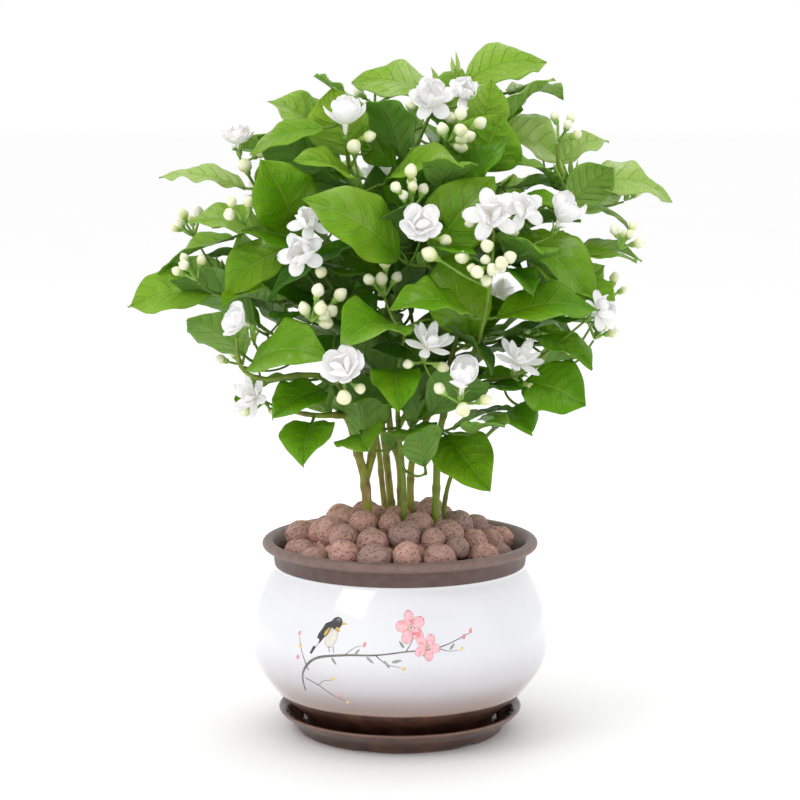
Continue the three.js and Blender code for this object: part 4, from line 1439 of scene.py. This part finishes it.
SPRAY_LEFT, SPRAY_UP = 3, 14
BELLY_R = 83.6  # where a is the true distance round the front
SUNK = -0.3  # how far a mark's back lies in the glaze
EDGE = 0.02  # how far its edge stands out


def pot_radius(z):
    return np.interp(z, POT_SURFACE[:, 1], POT_SURFACE[:, 0])


def on_pot(a, z, proud):
    """A point a millimetres round the front and z up from the spray's zero, standing proud of the glaze."""
    a, z = a - SPRAY_LEFT, z + SPRAY_UP
    lean = math.atan2(pot_radius(z + 1) - pot_radius(z - 1), 2)
    radius = pot_radius(z) + proud * math.cos(lean)
    turn = -math.pi / 2 + a / BELLY_R
    return [radius * math.cos(turn), radius * math.sin(turn), z - proud * math.sin(lean)]


def stroke(points, widths, proud=0.1):
    """A brush line that swells and thins."""
    path = spline([(a, 0, z) for a, z in points], 1.0)[:, [0, 2]]
    half = np.interp(np.linspace(0, 1, len(path)), np.linspace(0, 1, len(widths)), widths) / 2
    ahead = np.gradient(path, axis=0)
    ahead /= np.linalg.norm(ahead, axis=1)[:, None]
    side = np.stack([ahead[:, 1], -ahead[:, 0]], axis=1)
    rings = []
    for p, n, h in zip(path, side, half):
        left, right = p - n * h, p + n * h
        rings += [on_pot(*left, EDGE), on_pot(*p, proud), on_pot(*right, EDGE), on_pot(*p, SUNK)]
    return Shape(rings, closed_strip(len(path), 4))


def dab(points, proud=0.12):
    """A filled brush mark with a rounded edge, from its outline."""
    points = np.array(points, float)
    middle = points.mean(0)
    rings = [on_pot(*p, EDGE) for p in points]
    rings += [on_pot(*(middle + (p - middle) * 0.8), proud) for p in points]
    rings += [on_pot(*(middle + (p - middle) * 0.9), SUNK) for p in points]
    rings += [on_pot(*middle, proud), on_pot(*middle, SUNK)]
    n = len(points)
    faces = []
    for i in range(n):
        j = (i + 1) % n
        faces += [(i, j, n + j, n + i), (2 * n + i, 2 * n + j, j, i)]
        faces += [(n + i, n + j, 3 * n), (2 * n + j, 2 * n + i, 3 * n + 1)]
    return Shape(rings, faces)


def oval(a, z, long, wide, turn, point=0.0, sides=18):
    """The outline of an oval whose far end may be drawn out to a point."""
    t = np.linspace(0, 2 * np.pi, sides, endpoint=False)
    x = long / 2 * np.cos(t) * (1 + point * np.maximum(0, np.cos(t)) ** 2)
    y = wide / 2 * np.sin(t) * (1 - 0.5 * point * np.maximum(0, np.cos(t)))
    cos, sin = math.cos(turn), math.sin(turn)
    return np.stack([a + x * cos - y * sin, z + x * sin + y * cos], axis=1)


def blossom(a, z, size, turn):
    """Five round petals and a few stamens."""
    petals, stamens = [], []

    def out(way, share):
        return a + share * size * math.cos(way), z + share * size * math.sin(way)

    for i in range(5):
        way = turn + 2 * math.pi * i / 5
        petals.append(dab(oval(*out(way, 0.55), size * 0.82, size * 0.66, way), 0.16))
    for i in range(7):
        way = turn + 0.4 + 2 * math.pi * i / 7
        stamens.append(stroke([(a, z), out(way, 0.42)], [0.25, 0.2], 0.24))
        stamens.append(dab(oval(*out(way, 0.45), 0.6, 0.6, 0, 0, 8), 0.28))
    return petals, stamens


TWIGS_PAINTED = [
    (
        [(-55, 22), (-53, 33), (-44, 42), (-27, 45.5), (-10, 46.5), (6, 48.5), (23, 50), (42, 56)],
        [0.9, 1.4, 1.3, 1.0, 0.8, 0.7, 0.6, 0.35],
    ),
    ([(-49, 35), (-53, 44), (-56, 52)], [0.8, 0.5, 0.3]),
    ([(-52, 30), (-44, 27), (-36, 22), (-29, 19)], [0.7, 0.6, 0.3]),
    ([(-44, 27), (-40, 30), (-35, 31)], [0.4, 0.3, 0.2]),
    ([(-10, 46.5), (-4, 42), (4, 40)], [0.6, 0.4, 0.2]),
    ([(6, 48.5), (9, 53), (11, 58)], [0.6, 0.4, 0.3]),
    ([(23, 50), (29, 48), (35, 48)], [0.5, 0.3, 0.2]),
    ([(-27, 45.5), (-21, 50), (-17, 51)], [0.5, 0.3, 0.2]),
]
LEAVES_PAINTED = [
    (-4, 42, 4.2, -0.9), (1, 43.5, 4.8, 0.2), (-13, 44, 4.4, -0.7), (16, 46.5, 4.6, -0.8),
    (-33, 42, 4, -0.9), (-20, 47.5, 3.6, 0.9), (31, 50, 4, 0.8), (4, 52, 3.8, 2.2),
]
PINK_BUDS = [(-56.4, 53.5), (-56, 41), (-31.5, 22), (43, 57), (38.5, 54.5), (-16, 51.6)]
YELLOW_BUDS = [(-54.6, 47), (-28, 18.4), (-34, 31.8), (36.4, 48.6), (5, 39.6)]


def paint(name, shapes, *shades):
    piece(name, shapes, enamel("enamel_" + name, *shades))


branch = [stroke(points, widths) for points, widths in TWIGS_PAINTED]
paint("painted_branch", branch, (92, 84, 80), (136, 126, 118))
small_leaves = [dab(oval(a, z, size, size * 0.36, turn, 0.3)) for a, z, size, turn in LEAVES_PAINTED]
paint("painted_leaves", small_leaves, (120, 132, 124), (170, 178, 168))
first_petals, first_stamens = blossom(9, 60.5, 9.0, 0.5)
second_petals, second_stamens = blossom(17.5, 50.5, 7.6, 1.1)
paint("painted_blossoms", first_petals + second_petals, (226, 122, 138), (247, 196, 202), (238, 158, 170))
paint("painted_stamens", first_stamens + second_stamens, (214, 96, 92), (232, 180, 84))
pink = [dab(oval(a, z, 2.6, 1.9, 1.2, 0.2, 12), 0.16) for a, z in PINK_BUDS]
paint("painted_bud_tips", pink, (226, 116, 128), (240, 168, 160))
yellow = [dab(oval(a, z, 2.3, 1.7, 0.6, 0.2, 12), 0.16) for a, z in YELLOW_BUDS]
paint("painted_buds", yellow, (232, 190, 90), (242, 214, 140))
BIRD_BACK = [
    (-48, 44.5), (-46.6, 44), (-41.5, 51), (-38, 55), (-35, 60), (-36.6, 62), (-40.2, 60.5), (-43.6, 55),
]
bird_dark = [
    dab(BIRD_BACK, 0.16),
    dab(oval(-33.4, 61.2, 7.2, 6.0, 0.3), 0.2),
    stroke([(-36.2, 49), (-35.6, 46.3)], [0.4, 0.3], 0.2),
    stroke([(-33.6, 49.4), (-33.2, 46.2)], [0.4, 0.3], 0.2),
]
bird_pale = [dab(oval(-35.2, 53.4, 10.5, 6.6, 1.15), 0.14)]
bird_ochre = [
    dab(oval(-38.6, 56.4, 5.2, 1.7, 1.0, 0.3), 0.24),
    dab([(-30.2, 61.9), (-26.6, 61.2), (-30.2, 60.5)], 0.24),
    dab(oval(-32.2, 58.2, 3.4, 1.8, -0.6), 0.26),
]
paint("painted_bird_belly", bird_pale, (214, 210, 200), (232, 228, 214))
paint("painted_bird_back", bird_dark, (34, 33, 36), (66, 64, 66))
paint("painted_bird_marks", bird_ochre, (206, 158, 44), (228, 190, 84))
